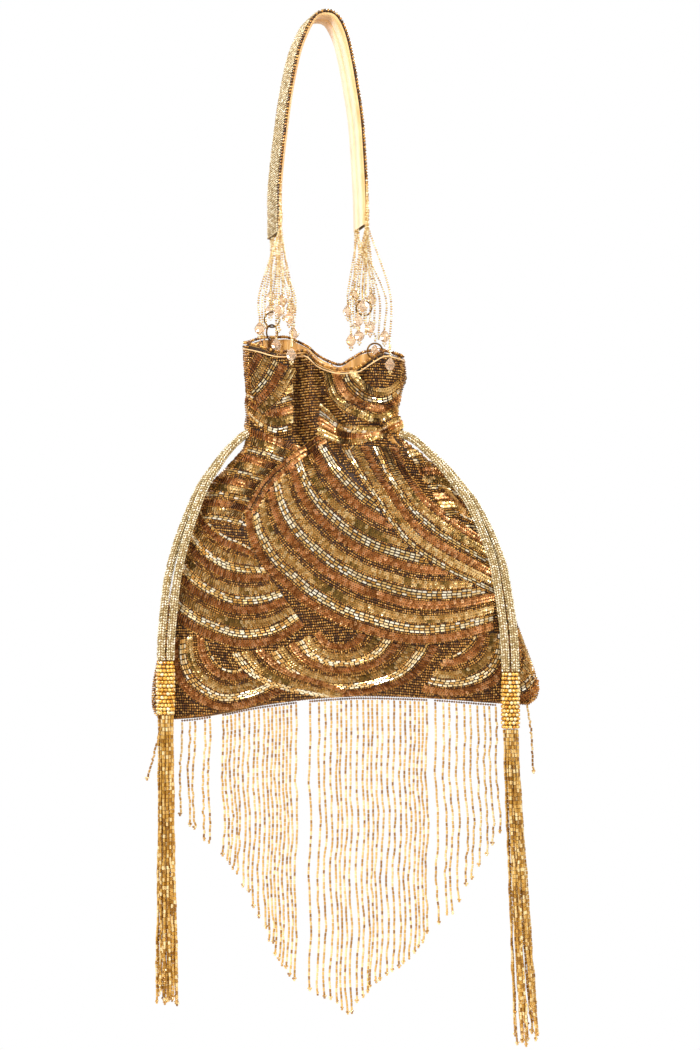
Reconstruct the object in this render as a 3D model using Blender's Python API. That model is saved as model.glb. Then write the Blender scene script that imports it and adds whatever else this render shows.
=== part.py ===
"""Beaded potli bag: a gathered drawstring pouch on a beaded wrist strap, with fringe and tassels.

Standalone Blender script, metres, +Z up. The bag hangs: the origin is on the flat underside of the
strap's top, where a hook or a hand holds it. +X is to the right of the front view and the front is -Y.
All sizes below are in millimetres and are turned into metres by MM.
"""
import math

import bpy
from mathutils import Vector

MM = 0.001
SEAT_GAP = 0.3          # clearance between pieces that touch

# Strap: a flat beaded band bent into an arch, its outer face given as (x, z) down both legs
STRAP_WIDTH = 18.8
STRAP_COVER = 2.2       # beaded outer layer
STRAP_LINING = 2.0      # plain inner layer
STRAP_TURN_DEG = 9.0    # the band is turned a little away from the front view
STRAP_ROLL_DEG = 8.0    # its front edge stands higher than its back edge
STRAP_EDGE_BEAD = 1.8   # diameter of the dark bead row along each edge
STRAP_TOP = STRAP_COVER + SEAT_GAP + STRAP_LINING
STRAP_FLAT = 3.0        # half length of the flat at the top
STRAP_LEFT = [(-28.5, -124.0), (-28.5, -111.0), (-28.5, -98.0), (-27.2, -82.0), (-25.2, -65.0),
              (-22.2, -43.0), (-17.8, -21.0), (-13.2, -8.0), (-8.6, 0.4)]
STRAP_RIGHT = [(8.8, 0.0), (12.9, -9.0), (16.2, -22.6), (19.1, -38.9), (21.8, -57.4),
               (23.2, -76.0), (24.4, -97.0), (24.8, -108.0), (25.0, -119.5)]

# Bead strands between the strap's ends and the mouth
STRAND_BEAD = 1.3
STRAND_PITCH = 1.6      # between strands across the strap
STRAND_SPREAD_Z = -146.0
STRAND_SIDES = 4
STRAND_BEND = 2.0       # height above a drop at which its strand leaves its slot
DROP_WIDTH = 6.0
DROP_HEIGHT = 7.0
PICOT_WIDTH = 2.4
PICOT_HEIGHT = 2.2

# Wire rings that carry the bag
RING_RADIUS = 4.4
RING_WIRE = 1.0
RING_TURN_DEG = 45.0
RING_STEPS = 14
LEFT_LINK = (-28.4, 0.0, -177.0)     # the bag hangs from these two points
RIGHT_LINK = (31.3, 0.0, -186.4)
RIGHT_UPPER_RING = (24.9, 0.0, -165.9)
TAB_WIDTH = 4.5
TAB_THICK = 1.0
TAB_DROP = 7.0
TAB_SEAT = 0.5          # clearance of a tab's foot to the lining

# Pouch: outlines as (z, x) from the rim down, half depth as (z, y)
RIM_Z = -194.0
NECK_Z = -241.0
HEM_Z = -394.0
LEFT_EDGE = [(-194.0, -45.6), (-208.0, -44.6), (-217.0, -43.6), (-222.0, -44.6), (-227.0, -43.6),
             (-234.0, -44.6), (-241.0, -43.6), (-247.5, -45.6), (-254.5, -51.4), (-266.0, -62.5),
             (-277.0, -70.2), (-300.0, -79.0), (-335.0, -88.4), (-365.0, -95.6), (-376.0, -98.2),
             (-385.0, -98.9), (-391.0, -97.4), (-394.0, -94.4)]
RIGHT_EDGE = [(-194.0, 48.6), (-204.0, 49.6), (-214.0, 47.3), (-220.5, 45.8), (-226.0, 44.8),
              (-234.0, 47.6), (-241.0, 47.4), (-249.0, 56.4), (-261.0, 71.8), (-273.0, 85.4),
              (-286.0, 93.8), (-306.0, 101.2), (-326.0, 107.2), (-346.0, 113.4), (-362.0, 119.6),
              (-375.0, 124.6), (-385.0, 127.2), (-391.0, 125.6), (-394.0, 121.4)]
HALF_DEPTH = [(-194.0, 19.0), (-215.0, 16.5), (-241.0, 14.5), (-252.0, 17.0), (-270.0, 21.5),
              (-300.0, 25.5), (-330.0, 26.5), (-355.0, 23.0), (-375.0, 15.5), (-386.0, 9.0),
              (-391.0, 5.2), (-394.0, 2.4)]
SECTION_POWER = [(-194.0, 0.9), (-241.0, 0.95), (-290.0, 1.2), (-394.0, 1.25)]
# Height of the rim above RIM_Z, across the front and the back, as (share of the width, z)
FRONT_RIM = [(0.0, 6.5), (0.08, 4.5), (0.24, 0.5), (0.38, 1.5), (0.46, -5.0), (0.6, -10.0),
             (0.7, -9.0), (0.8, -3.0), (0.88, 1.0), (0.95, 0.0), (1.0, -1.5)]
BACK_RIM = [(0.0, 6.5), (0.1, 9.5), (0.24, 10.5), (0.38, 6.0), (0.47, -0.5), (0.6, -5.5),
            (0.68, -2.0), (0.76, 2.0), (0.86, 3.0), (0.95, 0.5), (1.0, -1.5)]
RIM_FADE_Z = -226.0
# Height of the hem above HEM_Z across the width
HEM_RISE = [(0.0, -10.5), (0.08, -9.5), (0.16, -7.0), (0.28, -2.0), (0.42, 1.6), (0.55, 3.2),
            (0.72, 2.2), (0.9, -0.6), (1.0, -1.8)]
HEM_FADE_Z = -330.0
# Pleats: route on the cloth as (x, z), depth, half width
FRONT_PLEATS = [
    ([(-12.5, -194.0), (-13.5, -215.0), (-11.5, -238.0), (-8.5, -250.0)], 8.5, 4.8),
    ([(-1.5, -192.0), (-0.5, -208.0)], 8.0, 4.6),
    ([(2.0, -219.0), (7.5, -232.0), (11.5, -248.0)], 7.0, 6.0),
    ([(23.5, -200.0), (25.5, -216.0)], 5.0, 4.6),
    ([(16.5, -219.0), (31.5, -222.5), (43.5, -226.0)], 3.6, 4.6),
    ([(31.5, -234.0), (48.5, -257.0), (68.5, -271.0), (82.0, -284.0)], 5.5, 5.2),
    ([(-20.5, -243.0), (-51.5, -280.0)], 4.0, 5.6),
    ([(26.0, -246.0), (34.0, -262.0)], 2.4, 5.0),
]
BACK_PLEAT_XS = (-33.0, -20.0, -7.0, 6.0, 19.5, 33.0)
BACK_PLEAT_FAN = 1.55   # how far the pleats spread below the neck
BACK_PLEAT_END_Z = -284.0
BACK_PLEAT_DEPTH = 5.2
BACK_PLEAT_WIDTH = 4.8
SHELL_WALL = 2.0
LINING_GAP = 0.8
LINING_WALL = 0.8
SEAM_EXTRA = 1.2        # share by which the side seams thicken towards the bottom corners
WALL_RISE = 2.8         # each inner layer's floor stands this many times its depth higher
WALL_RISE_Z = -335.0    # height above which the layers' levels are the same
CLOTH_COLUMNS = 18
CLOTH_LEVELS = [-194.0, -203.0, -212.0, -220.0, -228.0, -241.0, -249.0, -260.0, -275.0,
                -300.0, -335.0, -368.0, -386.0, -394.0]
PIPING_BEAD = 2.2

# Drawcords: two ropes a side, as (x, y, z) down the middle of the pair
ROPE_WIDTH = 5.4
ROPE_GAP = 0.3
LEFT_ROUTE = [(-46.8, -3.0, -241.6), (-53.0, -5.5, -247.6), (-58.2, -8.5, -254.8),
              (-63.6, -10.5, -262.4), (-68.6, -11.2, -270.4), (-73.2, -11.6, -281.4),
              (-79.4, -12.4, -298.6), (-83.4, -12.9, -313.0), (-86.0, -13.2, -326.4),
              (-87.8, -13.4, -343.4), (-89.0, -13.5, -358.0), (-89.3, -13.5, -369.7)]
RIGHT_ROUTE = [(53.0, -3.8, -241.8), (58.2, -6.3, -246.0), (65.0, -8.8, -252.2),
               (72.4, -10.8, -260.0), (79.6, -11.4, -269.0), (88.2, -12.0, -280.8),
               (95.2, -12.6, -295.6), (100.6, -13.2, -309.0), (103.6, -13.5, -322.0),
               (106.6, -13.6, -340.6), (108.6, -13.7, -359.0), (109.2, -13.7, -376.2)]
ROPE_STEPS = 12
ROPE_TWIST = 1.25       # the pair has turned fully before its lower end
ROPE_SIDES = 2

# Tassels: a beaded cap on the ropes' ends and a skirt of bead strands under it
CAP_WIDTH = 11.0
CAP_END_WIDTH = 9.6
CAP_SIDES = 12
KNUCKLE = 2.6           # depth of a joint's axis under the rounded top of the piece that turns on it
KNUCKLE_FLAT = 1.8      # width of the flat along a knuckle's top
LEFT_CAP_LENGTH = 30.8
RIGHT_CAP_LENGTH = 32.5
SKIRT_GRID = 4
SKIRT_BEAD = 1.4
SKIRT_PITCH = 2.1
SKIRT_FLARE = 1.7
SKIRT_HEAD = 3.6        # depth of the skirt's head, a ridge that lets it sway under the cap
LEFT_SKIRT_LENGTH = 168.0
RIGHT_SKIRT_LENGTH = 183.0
SKIRT_SHORTEST = 0.86   # share of the skirt's length that its shortest strand has

# Fringe: strands on a bead row under the hem, in four groups with gaps between them
FRINGE_BEAD = 1.2
FRINGE_HEAD = 1.6
FRINGE_PICOT = 2.6
FRINGE_GAP = 0.65       # room for the bead row to turn under the hem
PICOT_TOP = 4.0         # heights above a strand's lower end
PICOT_MIDDLE = 1.6
FRINGE_TIP = 0.4
FRINGE_SIDE = 0.15      # how far a picot may widen towards its neighbours
FRINGE_WAVE = 0.7
FRINGE_WAVE_LENGTH = 60.0
FRINGE_STRANDS = {
    "fringe_1": [-80.6, -76.0, -73.1, -67.3, -64.4],
    "fringe_2": [-56.8, -54.5, -52.3, -49.9, -47.5, -44.7, -41.8, -38.8, -36.3, -33.1, -30.7,
                 -28.4, -26.2, -24.0, -21.8, -19.6, -17.4, -14.5],
    "fringe_3": [-6.4, -1.2, 2.3, 5.8, 9.3, 11.6, 14.5, 17.4, 20.9, 24.4, 27.3, 29.6, 32.5,
                 35.4, 38.9, 42.3, 45.8, 48.7, 51.6, 54.2, 56.6, 58.9, 61.2],
    "fringe_4": [66.1, 70.8, 74.2, 78.3, 82.9, 86.4, 90.5, 94.5, 97.4, 101.2],
}
# Lowest point of the fringe as (x, z)
FRINGE_ENDS = [(-82.0, -463.0), (-64.0, -479.0), (-51.0, -492.0), (-39.5, -512.0), (-34.0, -526.0),
               (-24.0, -545.0), (-11.0, -560.0), (8.0, -570.5), (15.5, -578.0), (22.0, -568.0),
               (44.0, -552.5), (55.5, -540.0), (62.0, -531.0), (75.5, -516.0), (86.5, -497.0),
               (97.0, -479.0), (103.5, -467.0)]
# Single strands at the two corners of the hem, as top x and bottom (x, z)
CORNER_STRANDS = {
    "fringe_corner_left": (-92.5, (-100.0, -440.0)),
    "fringe_corner_right": (119.5, (124.0, -436.0)),
}

# Strands of the handle: depth slot y, then the drop's centre (x, y, z)
LEFT_STRANDS = [
    (-9.4, (-24.2, -12.1, -168.4)),
    (-7.9, (-18.3, -10.6, -172.1)),
    (-6.3, (-25.8, -8.2, -187.6)),
    (-4.7, (-35.4, -6.2, -178.1)),
    (2.9, (-22.6, 2.9, -161.2)),
    (4.5, (-15.7, 6.6, -179.8)),
    (6.1, (-29.6, 8.8, -166.5)),
    (7.7, (-17.4, 10.6, -165.3)),
    (9.3, (-29.3, 12.0, -158.4)),
]
RIGHT_STRANDS = [
    (-9.4, (24.1, -12.1, -165.6)),
    (-7.9, (21.5, -10.7, -173.8)),
    (-6.3, (28.4, -8.9, -177.5)),
    (-4.7, (17.4, -7.2, -185.0)),
    (2.9, (22.2, 2.9, -181.5)),
    (4.5, (36.9, 5.6, -181.9)),
    (6.1, (15.6, 8.8, -167.0)),
    (7.7, (29.4, 10.4, -159.9)),
    (9.3, (19.4, 12.0, -157.0)),
]
# Strands that end on a ring, as depth slot y and the lower end (x, y, z)
LEFT_CARRIERS = [(-1.6, (-29.2, 0.0)), (1.3, (-27.6, 0.0))]
RIGHT_CARRIERS = [(-1.6, (24.1, 0.0)), (1.3, (25.7, 0.0))]
# Two long strands pass the hanging axis and lie over the front of the rim
LEFT_OVER_RIM = (-3.1, -16.8, [(-16.8, -7.5, -184.4), (-16.8, -14.6, -187.2), (-16.8, -20.2, -189.0)],
                 (-16.8, -21.0, -194.0))
RIGHT_OVER_RIM = (-3.1, 39.8, [(39.8, -6.0, -187.6), (39.8, -12.5, -187.6), (39.8, -17.4, -190.0)],
                  (39.8, -18.6, -199.5))


def table(points, t):
    """Smooth value at t through (t, value) pairs listed in either direction."""
    pts = sorted(points)
    if t <= pts[0][0]:
        return pts[0][1]
    if t >= pts[-1][0]:
        return pts[-1][1]
    i = next(k for k in range(len(pts) - 1) if t <= pts[k + 1][0])
    (t0, v0), (t1, v1) = pts[i], pts[i + 1]
    slope = (v1 - v0) / (t1 - t0)

    def tangent(k):
        if k in (0, len(pts) - 1):
            return slope
        before = (pts[k][1] - pts[k - 1][1]) / (pts[k][0] - pts[k - 1][0])
        after = (pts[k + 1][1] - pts[k][1]) / (pts[k + 1][0] - pts[k][0])
        if before * after <= 0:
            return 0.0
        return 2 * before * after / (before + after)

    h = t1 - t0
    u = (t - t0) / h
    m0, m1 = tangent(i) * h, tangent(i + 1) * h
    return (v0 * (2 * u ** 3 - 3 * u ** 2 + 1) + m0 * (u ** 3 - 2 * u ** 2 + u)
            + v1 * (3 * u ** 2 - 2 * u ** 3) + m1 * (u ** 3 - u ** 2))


def smooth_path(points, count):
    """Evenly spaced points on a smooth curve through the given ones."""
    pts = [Vector(p) for p in points]
    ends = [pts[0] * 2 - pts[1]] + pts + [pts[-1] * 2 - pts[-2]]
    fine = []
    for i in range(1, len(ends) - 2):
        p0, p1, p2, p3 = ends[i - 1:i + 3]
        for k in range(16):
            u = k / 16
            fine.append(0.5 * (2 * p1 + (p2 - p0) * u + (2 * p0 - 5 * p1 + 4 * p2 - p3) * u ** 2
                               + (3 * p1 - p0 - 3 * p2 + p3) * u ** 3))
    fine.append(pts[-1])
    lengths = [0.0]
    for a, b in zip(fine, fine[1:]):
        lengths.append(lengths[-1] + (b - a).length)
    result = []
    for k in range(count):
        want = lengths[-1] * k / (count - 1)
        i = min(next((j for j in range(1, len(fine)) if lengths[j] >= want), len(fine) - 1),
                len(fine) - 1)
        span = lengths[i] - lengths[i - 1]
        u = (want - lengths[i - 1]) / span if span else 0.0
        result.append(fine[i - 1].lerp(fine[i], u))
    return result


def material(name, colour, roughness, metallic=0.0):
    mat = bpy.data.materials.new(name)
    mat.use_nodes = True
    shader = mat.node_tree.nodes["Principled BSDF"]
    shader.inputs["Base Color"].default_value = (*colour, 1.0)
    shader.inputs["Roughness"].default_value = roughness
    shader.inputs["Metallic"].default_value = metallic
    return mat


def make_empty(name, place, parent=None):
    empty = bpy.data.objects.new(name, None)
    bpy.context.scene.collection.objects.link(empty)
    empty["place"] = [float(v) for v in place]
    origin = Vector(parent["place"]) if parent else Vector((0, 0, 0))
    empty.location = (Vector(place) - origin) * MM
    empty.parent = parent
    return empty


def add_mesh(name, verts, faces, carrier, mat, smooth=True):
    """Make one closed object from millimetre points, placed under the body's empty."""
    origin = Vector(carrier["place"])
    mesh = bpy.data.meshes.new(name)
    mesh.from_pydata([(Vector(v) - origin) * MM for v in verts], [], faces)
    mesh.update()
    obj = bpy.data.objects.new(name, mesh)
    bpy.context.scene.collection.objects.link(obj)
    obj.parent = carrier
    mesh.materials.append(mat)
    if smooth:
        mesh.shade_smooth()
        mesh.set_sharp_from_angle(angle=math.radians(50))
    return obj


def sweep(points, radii, sides, closed=False):
    """Tube of changing radius through the points: its vertices and faces."""
    pts = [Vector(p) for p in points]
    n = len(pts)
    verts, faces = [], []
    side = None
    for i, p in enumerate(pts):
        ahead = pts[(i + 1) % n] if closed or i + 1 < n else p
        behind = pts[i - 1] if closed or i > 0 else p
        along = (ahead - behind).normalized()
        if side is None:
            side = Vector((0, 1, 0)) if abs(along.y) < 0.9 else Vector((1, 0, 0))
        side = (side - along * side.dot(along)).normalized()
        other = along.cross(side)
        for k in range(sides):
            a = 2 * math.pi * k / sides
            verts.append(p + (side * math.cos(a) + other * math.sin(a)) * radii[i])
    for i in range(n if closed else n - 1):
        for k in range(sides):
            a, b = i * sides + k, i * sides + (k + 1) % sides
            c, d = (i + 1) % n * sides + (k + 1) % sides, (i + 1) % n * sides + k
            faces.append((a, b, c, d))
    if not closed:
        faces.append(tuple(reversed(range(sides))))
        faces.append(tuple(range((n - 1) * sides, n * sides)))
    return verts, faces


# Strap

def strap_outline():
    """Points (x, z) of the band's outer face with outward normals, left end to right end."""
    flat = [(-STRAP_FLAT, STRAP_TOP), (STRAP_FLAT, STRAP_TOP)]
    route = STRAP_LEFT + flat + STRAP_RIGHT
    result = []
    for i, (x, z) in enumerate(route):
        x0, z0 = route[max(i - 1, 0)]
        x1, z1 = route[min(i + 1, len(route) - 1)]
        normal = Vector((z0 - z1, x1 - x0)).normalized()
        if (x, z) in flat:
            normal = Vector((0.0, 1.0))
        result.append((Vector((x, z)), normal))
    return result


def strap_point(station, across, inward):
    """Point of the band: across is towards the front edge, inward is under the outer face."""
    (spot, normal), turn = station, math.radians(STRAP_TURN_DEG)
    x, z = spot - normal * inward
    return Vector((x + across * math.sin(turn), -across * math.cos(turn),
                   z + across * math.tan(math.radians(STRAP_ROLL_DEG))))


def strap_layer(name, top, bottom, carrier, mat):
    half = STRAP_WIDTH / 2
    verts, faces = [], []
    stations = strap_outline()
    for station in stations:
        for across, inward in ((half, top), (half, bottom), (-half, bottom), (-half, top)):
            verts.append(strap_point(station, across, inward))
    for i in range(len(stations) - 1):
        for k in range(4):
            a, b = 4 * i + k, 4 * i + (k + 1) % 4
            faces.append((a, b, b + 4, a + 4))
    faces.append((3, 2, 1, 0))
    last = 4 * (len(stations) - 1)
    faces.append((last, last + 1, last + 2, last + 3))
    return add_mesh(name, verts, faces, carrier, mat)


def make_strap(carrier, mats):
    strap_layer("strap_cover", 0.0, STRAP_COVER, carrier, mats["strap"])
    strap_layer("strap_lining", STRAP_COVER + SEAT_GAP, STRAP_TOP, carrier, mats["lining"])
    radius = STRAP_EDGE_BEAD / 2
    for name, side in (("strap_edge_front", 1), ("strap_edge_back", -1)):
        across = side * (STRAP_WIDTH / 2 + SEAT_GAP + radius)
        points = [strap_point(station, across, radius + SEAT_GAP) for station in strap_outline()]
        verts, faces = sweep(points, [radius] * len(points), 5)
        add_mesh(name, verts, faces, carrier, mats["dark_bead"])


# Rings, tabs and bead strands

def wire_ring(name, centre, turn_deg, carrier, mat):
    turn = math.radians(turn_deg)
    flat = Vector((math.cos(turn), math.sin(turn), 0.0))
    points = [Vector(centre) + (flat * math.cos(a) + Vector((0, 0, math.sin(a)))) * RING_RADIUS
              for a in (2 * math.pi * k / RING_STEPS for k in range(RING_STEPS))]
    verts, faces = sweep(points, [RING_WIRE / 2] * RING_STEPS, 5, closed=True)
    add_mesh(name, verts, faces, carrier, mat)


def left_lower_ring_centre():
    x, y, z = LEFT_LINK
    return (x, y, z + RING_WIRE + SEAT_GAP - RING_RADIUS)


def right_lower_ring_centre():
    x, y, z = RIGHT_LINK
    return (x, y, z - RING_RADIUS)


def make_tab(name, centre, carrier, mat):
    """Cloth tab from the lower end of a ring down and back to the lining."""
    low = Vector(centre) - Vector((0, 0, RING_RADIUS + RING_WIRE / 2 + SEAT_GAP))
    inner = SHELL_WALL + LINING_GAP + LINING_WALL
    foot_z = low.z - TAB_DROP
    nearby = []
    for level in (foot_z + TAB_DROP - k for k in range(24)):
        for x in (low.x - TAB_WIDTH, low.x, low.x + TAB_WIDTH):
            wall = cloth_point("back", width_share(x, level), level, inner)
            if abs(wall.z - foot_z) < TAB_DROP / 2:
                nearby.append(wall.y)
    foot = Vector((low.x, min(nearby) - TAB_SEAT - TAB_THICK / 2, foot_z))
    verts = []
    for spot in (low + Vector((0, 0, -TAB_THICK / 2)), foot):
        for dx, dy in ((-1, -1), (1, -1), (1, 1), (-1, 1)):
            verts.append(spot + Vector((dx * TAB_WIDTH / 2, dy * TAB_THICK / 2, 0)))
    faces = [(0, 1, 2, 3), (7, 6, 5, 4), (0, 4, 5, 1), (1, 5, 6, 2), (2, 6, 7, 3), (3, 7, 4, 0)]
    add_mesh(name, verts, faces, carrier, mat, smooth=False)


def drop_profile(x, y, top_z):
    """Faceted drop with a picot of small beads under it: points and radii downwards."""
    half, bead = DROP_WIDTH / 2, STRAND_BEAD / 2
    rows = [(0.0, bead), (0.55 * DROP_HEIGHT, half), (0.8 * DROP_HEIGHT, 0.7 * half),
            (DROP_HEIGHT, 0.6), (DROP_HEIGHT + 0.5 * PICOT_HEIGHT, PICOT_WIDTH / 2),
            (DROP_HEIGHT + PICOT_HEIGHT, 0.4)]
    return [(x, y, top_z - down) for down, _ in rows], [radius for _, radius in rows]


def strand_start(side, slot):
    """Top of a strand, stitched to one of the strap's faces at one of its depth slots."""
    stations = strap_outline()
    leg = stations[:3] if side == "left" else stations[-3:][::-1]
    bead = STRAND_BEAD / 2 + SEAT_GAP
    odd = round(abs(slot) / STRAND_PITCH) % 2
    inward = STRAP_TOP + bead if odd else -bead
    across = -slot / math.cos(math.radians(STRAP_TURN_DEG))
    low = strap_point(leg[0], across, inward)
    high = strap_point(leg[2], across, inward)
    return [Vector((high.x, slot, high.z)), Vector((low.x, slot, low.z - STRAND_BEAD))]


def make_strand(name, side, slot, end, mats, carrier):
    """Strand from the strap to its drop, whose centre is end."""
    x, y, z = end
    top = z + DROP_HEIGHT / 2
    points = strand_start(side, slot)
    points.append(Vector((x, slot, STRAND_SPREAD_Z)))
    radii = [STRAND_BEAD / 2] * 3
    points.append(Vector((x, slot, top + STRAND_BEND)))
    radii.append(STRAND_BEAD / 2)
    drop_points, drop_radii = drop_profile(x, y, top)
    verts, faces = sweep(points + drop_points, radii + drop_radii, STRAND_SIDES)
    add_mesh(name, verts, faces, carrier, mats["strand"])


def make_plain_strand(name, side, slot, end, mats, carrier):
    """Strand that ends at a given point, at a ring or at the hanging axis."""
    x, y, z = end
    points = strand_start(side, slot)
    points += [Vector((x, slot, STRAND_SPREAD_Z)), Vector((x, y, z + 4.0)), Vector((x, y, z))]
    verts, faces = sweep(points, [STRAND_BEAD / 2] * len(points), STRAND_SIDES)
    add_mesh(name, verts, faces, carrier, mats["strand"])


def axis_height(x):
    """Height of the hanging axis at x: a straight line through the two links."""
    (x0, _, z0), (x1, _, z1) = LEFT_LINK, RIGHT_LINK
    return z0 + (z1 - z0) * (x - x0) / (x1 - x0)


def make_handle_strands(handle, bag, mats):
    number = {"left": 1, "right": 1}

    def next_name(side):
        name = "strand_{}_{:02d}".format(side, number[side])
        number[side] += 1
        return name

    for side, strands in (("left", LEFT_STRANDS), ("right", RIGHT_STRANDS)):
        for slot, end in strands:
            make_strand(next_name(side), side, slot, end, mats, handle)
    ring_top = RING_RADIUS + RING_WIRE / 2 + SEAT_GAP
    left_z = LEFT_LINK[2] + RING_RADIUS + ring_top
    right_z = RIGHT_UPPER_RING[2] + ring_top
    for side, carriers, z in (("left", LEFT_CARRIERS, left_z), ("right", RIGHT_CARRIERS, right_z)):
        for slot, (x, y) in carriers:
            make_plain_strand(next_name(side), side, slot, (x, y, z), mats, handle)
    for side, (slot, x, over, end) in (("left", LEFT_OVER_RIM), ("right", RIGHT_OVER_RIM)):
        y0, z = LEFT_LINK[1], axis_height(x)
        make_plain_strand(next_name(side), side, slot, (x, y0, z + 2 * SEAT_GAP), mats, handle)
        drop_points, drop_radii = drop_profile(end[0], end[1], end[2] + DROP_HEIGHT / 2)
        points = [(x, y0, z - SEAT_GAP / 2), (x, y0 - 1.0, z - 1.5)] + over + drop_points
        radii = [STRAND_BEAD / 2] * (2 + len(over)) + drop_radii
        verts, faces = sweep(points, radii, STRAND_SIDES)
        add_mesh("drop_{}_over_rim".format(side), verts, faces, bag, mats["crystal"])
    x, y, z = RIGHT_UPPER_RING
    low = Vector((RIGHT_LINK[0], RIGHT_LINK[1], RIGHT_LINK[2] + RING_WIRE / 2 + SEAT_GAP))
    link = [(x, y, z - ring_top), (x + 0.8, y, z - ring_top - 4.0), low + Vector((0, 0, 4.0)), low]
    verts, faces = sweep(link, [STRAND_BEAD / 2] * 4, 5)
    add_mesh("strand_right_link", verts, faces, handle, mats["strand"])
    x, y, z = right_lower_ring_centre()
    points, radii = drop_profile(x, y, z + RING_RADIUS - RING_WIRE / 2 - SEAT_GAP)
    scale = (2 * RING_RADIUS - RING_WIRE - 2 * SEAT_GAP) / (DROP_HEIGHT + PICOT_HEIGHT)
    top = points[0][2]
    points = [(px, py, top + (pz - top) * scale) for px, py, pz in points]
    verts, faces = sweep(points, [r * scale for r in radii], 5)
    add_mesh("drop_right_ring", verts, faces, bag, mats["crystal"])


def make_rings(handle, bag, mats):
    x, y, z = LEFT_LINK
    wire_ring("ring_left_upper", (x, y, z + RING_RADIUS), 0.0, handle, mats["wire"])
    wire_ring("ring_left_lower", left_lower_ring_centre(), RING_TURN_DEG, bag, mats["wire"])
    wire_ring("ring_right_upper", RIGHT_UPPER_RING, 0.0, handle, mats["wire"])
    wire_ring("ring_right_lower", right_lower_ring_centre(), 0.0, bag, mats["wire"])
    make_tab("tab_left", left_lower_ring_centre(), bag, mats["tab"])
    make_tab("tab_right", right_lower_ring_centre(), bag, mats["tab"])


# Pouch

def route_distance(route, x, z):
    best = None
    for (x0, z0), (x1, z1) in zip(route, route[1:]):
        dx, dz = x1 - x0, z1 - z0
        u = max(0.0, min(1.0, ((x - x0) * dx + (z - z0) * dz) / (dx * dx + dz * dz)))
        d = math.hypot(x - x0 - u * dx, z - z0 - u * dz)
        best = d if best is None else min(best, d)
    return best


def pleats(side):
    if side == "front":
        return FRONT_PLEATS
    return [([(x, RIM_Z), (0.95 * x, NECK_Z), (BACK_PLEAT_FAN * x, BACK_PLEAT_END_Z)],
             BACK_PLEAT_DEPTH, BACK_PLEAT_WIDTH) for x in BACK_PLEAT_XS]


def fold_depth(side, x, z):
    total = 0.0
    for route, depth, width in pleats(side):
        total += depth * math.exp(-(route_distance(route, x, z) / width) ** 2)
    return total


def width_share(x, z):
    """Share of the pouch's width, from the left edge, at which x lies at height z."""
    left, right = table(LEFT_EDGE, z), table(RIGHT_EDGE, z)
    return min(max((x - left) / (right - left), 0.0), 1.0)


def cloth_point(side, share, level, inset):
    """Point of the pouch's wall, inset millimetres under its outer surface."""
    left, right = table(LEFT_EDGE, level), table(RIGHT_EDGE, level)
    around = math.acos(1 - 2 * share)
    middle, reach = 0.5 * (left + right), 0.5 * (right - left)
    hem_weight = max(0.0, (HEM_FADE_Z - level) / (HEM_FADE_Z - HEM_Z))
    x = middle - (reach - inset * (1 + SEAM_EXTRA * hem_weight)) * math.cos(around)
    bulge = math.sin(around) ** table(SECTION_POWER, level)
    fold = fold_depth(side, middle - reach * math.cos(around), level) * min(1.0, 2.2 * bulge) ** 2
    depth = (table(HALF_DEPTH, level) - inset) * bulge - fold
    rim = FRONT_RIM if side == "front" else BACK_RIM
    rim_weight = max(0.0, (level - RIM_FADE_Z) / (RIM_Z - RIM_FADE_Z))
    z = level + table(rim, share) * rim_weight ** 1.5 + table(HEM_RISE, share) * hem_weight
    return Vector((x, -depth if side == "front" else depth, z))


def wall_layer(inset):
    """Rings of points of one surface of the pouch's wall, from the rim down to its floor."""
    shorter = 1 - WALL_RISE * inset / (WALL_RISE_Z - HEM_Z)
    steps = [k / CLOTH_COLUMNS for k in range(CLOTH_COLUMNS + 1)]
    shares = [(1 - math.cos(math.pi * u)) / 4 + u / 2 for u in steps]
    rings = []
    for z in CLOTH_LEVELS:
        level = z if z > WALL_RISE_Z else WALL_RISE_Z + (z - WALL_RISE_Z) * shorter
        front = [cloth_point("front", s, level, inset) for s in shares]
        back = [cloth_point("back", s, level, inset) for s in shares[-2:0:-1]]
        rings.append(front + back)
    return rings


def wall_solid(name, outer_inset, inner_inset, carrier, mat):
    """Cup-shaped solid between two surfaces of the wall."""
    verts, faces = [], []
    around = 2 * CLOTH_COLUMNS

    def add_rings(rings, outward):
        first = len(verts)
        for ring in rings:
            verts.extend(ring)
        for i in range(len(rings) - 1):
            for k in range(around):
                a, b = first + i * around + k, first + i * around + (k + 1) % around
                for tri in ((a, a + around, b + around), (a, b + around, b)):
                    faces.append(tri if outward else tri[::-1])
        last = first + (len(rings) - 1) * around
        for k in range(CLOTH_COLUMNS):
            a, b = last + k, last + k + 1
            c, d = last + (around - k - 1) % around, last + (around - k) % around
            floor = [a, d, c, b] if k else [a, c, b]
            if k == CLOTH_COLUMNS - 1:
                floor = [a, d, b]
            faces.append(tuple(floor if outward else floor[::-1]))
        return first

    outer = add_rings(wall_layer(outer_inset), True)
    inner = add_rings(wall_layer(inner_inset), False)
    for k in range(around):
        n = (k + 1) % around
        faces.append((outer + k, outer + n, inner + n, inner + k))
    return add_mesh(name, verts, faces, carrier, mat)


def make_piping(carrier, mats):
    outer, inner = wall_layer(0.0)[0], wall_layer(SHELL_WALL)[0]
    radius = PIPING_BEAD / 2
    lift = Vector((0, 0, radius + 2 * SEAT_GAP))
    points = [(a + b) / 2 + lift for a, b in zip(outer, inner)]
    verts, faces = sweep(points, [radius] * len(points), 6, closed=True)
    add_mesh("mouth_piping", verts, faces, carrier, mats["dark_bead"])


# Drawcords and tassels

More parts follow.
